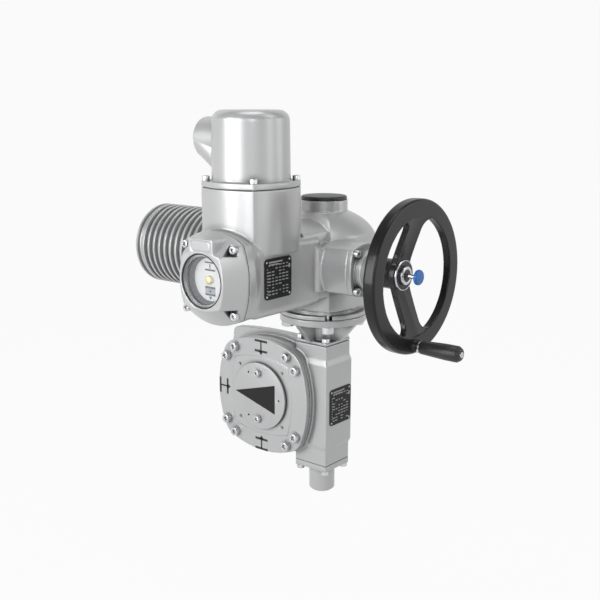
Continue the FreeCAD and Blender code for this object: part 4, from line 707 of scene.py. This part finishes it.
# painted shade: a flat dark disc on the nut's face stands in for its shaded recess
recessShadeDisc = [(rodReach, nutRing["low"]), (nutReach * nutRing["outer"], nutRing["low"]),
          (nutReach * nutRing["outer"], nutRing["edge"]),
          (nutReach * nutRing["top"], nutRing["high"]), (rodReach, nutRing["high"])]
show(lathe(recessShadeDisc, nutSpot, directions["x"]), "nutRecess", "hand", "dark_plastic")
print("window and hub made")


# plain marks and plates
def slab(shape, corners, low, high, axis):
    # a flat outline of (across, up) in mm given a thickness along x or y
    def spot(across, up, depth):
        return Vector((depth, across, up)) * mm if axis == "x" else \
            Vector((across, depth, up)) * mm

    under = [shape.verts.new(spot(a, u, low)) for a, u in corners]
    over = [shape.verts.new(spot(a, u, high)) for a, u in corners]
    shape.faces.new(under)
    shape.faces.new(over)
    for i in range(len(corners)):
        j = (i + 1) % len(corners)
        shape.faces.new((under[i], under[j], over[j], over[i]))


def bar(across, up, halfAcross, halfUp):
    return [(across - halfAcross, up - halfUp), (across + halfAcross, up - halfUp),
            (across + halfAcross, up + halfUp), (across - halfAcross, up + halfUp)]


def slabs(outlines, low, high, axis):
    shape = bmesh.new()
    for corners in outlines:
        slab(shape, corners, low, high, axis)
    bmesh.ops.recalc_face_normals(shape, faces=shape.faces)
    mesh = bpy.data.meshes.new("slabs")
    shape.to_mesh(mesh)
    shape.free()
    return mesh


coverMarks = {"top": (83.0, 67.5, 61.7), "left": (-84.0, -69.0, -62.8),
              "bottom": (-84.8, -69.6, -64.0), "half": 12.2, "line": 1.7, "arrow": 4.6,
              "face": -94.0, "thick": 0.25, "sunk": 0.1, "stem": 0.7}
dialMarks = {"bars": ((21.3, 0.9), (11.9, 1.1), (-10.2, 1.3), (-19.5, 1.1)), "half": 8.8,
             "panel": (-11.6, -18.5), "face": -275.0, "thick": 0.15, "proud": 1.6, "sunk": 0.05,
             "stem": (16.6, 0.8, 2.6), "diamond": (-15.1, 2.4, 2.1), "arrow": (-21.6, 2.6, 4.0)}


def coverMarkOutlines(sizes):
    outlines = []
    half, line, wide = sizes["half"], sizes["line"], sizes["arrow"]
    for side, upright in (("top", True), ("left", False), ("bottom", True)):
        far, near, tip = sizes[side]
        parts = [bar(0, far, half, line), bar(0, near, half, line),
                 bar(0, (far + near) / 2, line * sizes["stem"], abs(far - near) / 2)]
        parts.append([(-wide, near), (0, tip), (wide, near)])
        for part in parts:
            outlines.append(part if upright else [(u, a) for a, u in part])
    return outlines


marks = slabs(coverMarkOutlines(coverMarks), coverMarks["face"] - coverMarks["thick"],
              coverMarks["face"] + coverMarks["sunk"], "y")
show(marks, "coverMarks", "unit", "black_film", finish=markInk)

dialX, dialZ = dialSpot.x / mm, dialSpot.z / mm
dialOutlines = [bar(dialX, dialZ + up, dialMarks["half"], half)
                for up, half in dialMarks["bars"]]
up, half, high = dialMarks["stem"]
dialOutlines.append(bar(dialX, dialZ + up, half, high))
up, half, high = dialMarks["diamond"]
dialOutlines.append([(dialX - half, dialZ + up), (dialX, dialZ + up - high),
                     (dialX + half, dialZ + up), (dialX, dialZ + up + high)])
up, half, high = dialMarks["arrow"]
dialOutlines.append([(dialX - half, dialZ + up), (dialX, dialZ + up - high),
                     (dialX + half, dialZ + up)])
dialFace, dialUnder = dialMarks["face"], dialMarks["face"] + dialMarks["sunk"]
show(slabs(dialOutlines, dialFace - dialMarks["thick"] * dialMarks["proud"], dialUnder, "y"),
     "dialMarks", "dial", "black_film", finish=markInk)
low, high = dialMarks["panel"]
show(slabs([bar(dialX, dialZ + (low + high) / 2, dialMarks["half"], abs(high - low) / 2)],
           dialFace - dialMarks["thick"], dialUnder, "y"),
     "dialPanel", "dial", "white_plastic", finish=panelGrey)

plates = {
    "rating_plate": {"face": 128.8, "across": -204.0, "up": 210.0, "wide": 52.0, "high": 52.0,
                     "rows": 10, "words": 6, "seed": 4},
    "gearbox_plate": {"face": 111.4, "across": -45.6, "up": -4.0, "wide": 50.0, "high": 54.0,
                      "rows": 10, "words": 6, "seed": 9},
}


# the print on a plate in mm: margins of the rows, one word, and bars measured from a corner
printed = {"side": 18, "ends": 15, "down": 1, "word": (0.3, 5.2, 1.3), "left": 0.72,
           "shortest": 0.45, "longest": 1.15, "thick": 0.15, "sunk": 0.1,
           "titles": ((21, 4.5, 13, 0.9), (17.5, 7.6, 9.5, 0.7)), "code": (4.4, 12.4, 1.5, 2.6),
           "dots": {"inset": 5.2, "below": 13, "step": 3.9, "count": 9, "half": (0.8, 0.7)}}
rivet = {"radius": 1.5, "inset": 4, "sunk": 0.6, "around": 16, "rings": 8}


def printTree():
    # rows of short bars of different lengths, some left out
    tree = bpy.data.node_groups.new("printedRows", "GeometryNodeTree")
    for label, kind in (("Middle", "NodeSocketVector"), ("Wide", "NodeSocketFloat"),
                        ("High", "NodeSocketFloat"), ("Words", "NodeSocketInt"),
                        ("Rows", "NodeSocketInt"), ("Bar", "NodeSocketVector"),
                        ("Seed", "NodeSocketInt"), ("Finish", "NodeSocketMaterial")):
        tree.interface.new_socket(label, in_out="INPUT", socket_type=kind)
    tree.interface.new_socket("Print", in_out="OUTPUT", socket_type="NodeSocketGeometry")
    graph = Graph(tree)
    given = tree.nodes.new("NodeGroupInput")
    taken = {s.name: Sock(graph, s) for s in given.outputs}
    field = graph.node("GeometryNodeMeshGrid", None,
                       {"Size X": taken["Wide"], "Size Y": taken["High"],
                        "Vertices X": taken["Words"], "Vertices Y": taken["Rows"]})
    chance = graph.node("FunctionNodeRandomValue", {"data_type": "FLOAT"},
                        {2: 0.0, 3: 1.0, "Seed": taken["Seed"]}, out=1)
    fewer = graph.node("GeometryNodeDeleteGeometry", {"domain": "POINT"},
                       {"Geometry": field, "Selection": chance > printed["left"]})
    stood = graph.node("GeometryNodeTransform", None,
                       {"Geometry": fewer, "Translation": taken["Middle"],
                        "Rotation": (math.pi / 2, 0, math.pi / 2)})
    word = graph.node("GeometryNodeMeshCube", None, {"Size": taken["Bar"]})
    length = graph.node("FunctionNodeRandomValue", {"data_type": "FLOAT"},
                        {2: printed["shortest"], 3: printed["longest"],
                         "Seed": taken["Seed"] + 1}, out=1)
    scale = graph.node("ShaderNodeCombineXYZ", None, {"X": 1.0, "Y": length, "Z": 1.0})
    words = graph.node("GeometryNodeInstanceOnPoints", None,
                       {"Points": stood, "Instance": word, "Scale": scale})
    real = graph.node("GeometryNodeRealizeInstances", None, {0: words})
    coated = graph.node("GeometryNodeSetMaterial", None,
                        {"Geometry": real, "Material": taken["Finish"]})
    end = tree.nodes.new("NodeGroupOutput")
    tree.links.new(coated.socket, end.inputs[0])
    return tree


def platePrint(name, face, across, up, wide, high, rows, words, seed, tree):
    middle = (face * mm, across * mm, (up - printed["down"]) * mm)
    mesh = grow(name, bpy.data.meshes.new(name), tree, Middle=middle,
                Wide=(wide - printed["side"]) * mm, High=(high - printed["ends"]) * mm,
                Words=words, Rows=rows, Bar=tuple(size * mm for size in printed["word"]),
                Seed=seed, Finish=printWhite)
    show(mesh, name + "Print", "unit", "black_film", finish=printWhite)
    left, right, top = across - wide / 2, across + wide / 2, up + high / 2
    bars = [bar(left + inset, top - below, half, thick)
            for inset, below, half, thick in printed["titles"]]
    inset, below, half, thick = printed["code"]
    bars.append(bar(right - inset, top - below, half, thick))
    dots = printed["dots"]
    bars += [bar(left + dots["inset"], top - dots["below"] - dots["step"] * i, *dots["half"])
             for i in range(dots["count"])]
    show(slabs(bars, face - printed["sunk"], face + printed["thick"], "x"),
         name + "Headings", "unit", "black_film", finish=printWhite)


def plateRivets(name, face, across, up, wide, high):
    shape = bmesh.new()
    for side in (-1, 1):
        for level in (-1, 1):
            spot = Vector((face - rivet["sunk"], across + side * (wide / 2 - rivet["inset"]),
                           up + level * (high / 2 - rivet["inset"])))
            bmesh.ops.create_uvsphere(shape, u_segments=rivet["around"],
                                      v_segments=rivet["rings"], radius=rivet["radius"] * mm,
                                      matrix=Matrix.Translation(spot * mm))
    mesh = bpy.data.meshes.new(name + "Rivets")
    shape.to_mesh(mesh)
    shape.free()
    mesh.shade_smooth()
    show(mesh, name + "Rivets", "unit", "bolt_steel")


rowsTree = printTree()
for plateName, plate in plates.items():
    platePrint(plateName, **plate, tree=rowsTree)
    plateRivets(plateName, *(plate[key] for key in ("face", "across", "up", "wide", "high")))
print("marks and plates made")


# camera, light and floor
photoView = {"place": (0.87849, -1.07728, 0.43048), "down": 12.22, "turn": 39.87, "lens": 55.42,
             "sensor": 36, "shift": 0.0156}


def addCamera():
    data = bpy.data.cameras.new("photoCamera")
    data.sensor_width = photoView["sensor"]
    data.lens = photoView["lens"]
    data.shift_x = photoView["shift"]
    camera = bpy.data.objects.new("photoCamera", data)
    camera.location = photoView["place"]
    camera.rotation_euler = (math.radians(90 - photoView["down"]), 0,
                             math.radians(photoView["turn"]))
    bpy.context.collection.objects.link(camera)
    bpy.context.scene.camera = camera


# turn and lift in degrees as seen from the actuator, from +x towards +y
lamps = {
    "keyLamp": {"turn": -112, "lift": 15, "size": (0.6, 1.3), "watts": 17.8},
    "frontLamp": {"turn": -85, "lift": 15, "size": (0.6, 1.3), "watts": 12.5},
    "edgeLamp": {"turn": -45, "lift": 22, "size": (0.45, 0.45), "watts": 3.4},
    "sideLamp": {"turn": 5, "lift": 15, "size": (0.6, 1.3), "watts": 3.4},
    "rimLamp": {"turn": 40, "lift": 15, "size": (0.6, 1.3), "watts": 3.6},
    "highLamp": {"turn": 20, "lift": 50, "size": (0.8, 0.8), "watts": 4.4},
    "topLamp": {"turn": 0, "lift": 89, "size": (1.0, 1.0), "watts": 9.0},
}
lampAim = Vector((0.06, -0.08, 0.12))
lampAway = 2.0


def addLamp(name, turn, lift, size, watts):
    data = bpy.data.lights.new(name, "AREA")
    data.shape = "RECTANGLE"
    data.size, data.size_y = size
    data.energy = watts
    lamp = bpy.data.objects.new(name, data)
    across, up = math.radians(turn), math.radians(lift)
    out = Vector((math.cos(across) * math.cos(up), math.sin(across) * math.cos(up),
                  math.sin(up)))
    lamp.location = lampAim + lampAway * out
    lamp.rotation_euler = (-out).to_track_quat("-Z", "Y").to_euler()
    bpy.context.collection.objects.link(lamp)


stage = {"drop": 0.12, "half": 30.0, "roomLight": 0.27, "white": 0.95,
         "paint": (0.45, 0.45, 0.45), "wallAway": 6.0, "wallHalf": 9.0, "wallHigh": 9.0,
         "wallTurn": 129.9, "ringAway": 12.0, "ringHigh": 4.5, "ringCount": 48}


def seenDirectly(graph):
    # 1 where the camera, a mirror or glass looks at it, 0 for its light on things
    path = graph.tree.nodes.new("ShaderNodeLightPath")
    rays = [Sock(graph, path.outputs[label])
            for label in ("Is Camera Ray", "Is Glossy Ray", "Is Transmission Ray")]
    return (rays[0] + rays[1] + rays[2]).held(0.0, 1.0)


def stagePaint():
    finish = Finish("stagePaint")
    finish.put(colour=stage["paint"], rough=0.9)
    glow = finish.node("ShaderNodeEmission", None, {"Color": (1, 1, 1, 1), "Strength": 1.0})
    both = finish.node("ShaderNodeMixShader", None,
                       {0: seenDirectly(finish) * stage["white"],
                        1: Sock(finish, finish.surface.outputs[0]), 2: glow})
    finish.tree.links.new(both.socket,
                          finish.tree.nodes["Material Output"].inputs["Surface"])
    return finish.material


def addStage():
    half, low = stage["half"], cadBox[0][2] - stage["drop"]
    turn = math.radians(stage["wallTurn"])
    away = Vector((math.cos(turn), math.sin(turn), 0)) * stage["wallAway"]
    aside = Vector((math.sin(turn), -math.cos(turn), 0)) * stage["wallHalf"]
    foot, head = Vector((0, 0, low)), Vector((0, 0, stage["wallHigh"]))
    count = stage["ringCount"]
    ring = [Vector((math.cos(2 * math.pi * i / count), math.sin(2 * math.pi * i / count), 0))
            * stage["ringAway"] for i in range(count)]
    ringHead = Vector((0, 0, stage["ringHigh"]))
    sheets = {
        "floor": ([(-half, -half, low), (half, -half, low), (half, half, low),
                   (-half, half, low)], [(0, 1, 2, 3)]),
        "backWall": ([away - aside + foot, away + aside + foot, away + aside + head,
                      away - aside + head], [(0, 1, 2, 3)]),
        "ringWall": ([spot + foot for spot in ring] + [spot + ringHead for spot in ring],
                     [(i, (i + 1) % count, (i + 1) % count + count, i + count)
                      for i in range(count)]),
    }
    paint = stagePaint()
    for name, (corners, faces) in sheets.items():
        mesh = bpy.data.meshes.new(name)
        mesh.from_pydata(corners, [], faces)
        mesh.materials.append(paint)
        sheet = bpy.data.objects.new(name, mesh)
        bpy.context.collection.objects.link(sheet)


def setWorld():
    world = bpy.data.worlds.new("studio")
    world.use_nodes = True
    back = world.node_tree.nodes["Background"]
    back.inputs["Color"].default_value = (1, 1, 1, 1)
    back.inputs["Strength"].default_value = stage["roomLight"]
    bpy.context.scene.world = world
    bpy.context.scene.view_settings.view_transform = "Standard"


addCamera()
addStage()
setWorld()
for lampName, lamp in lamps.items():
    addLamp(lampName, **lamp)
print("camera, lamps and floor set")
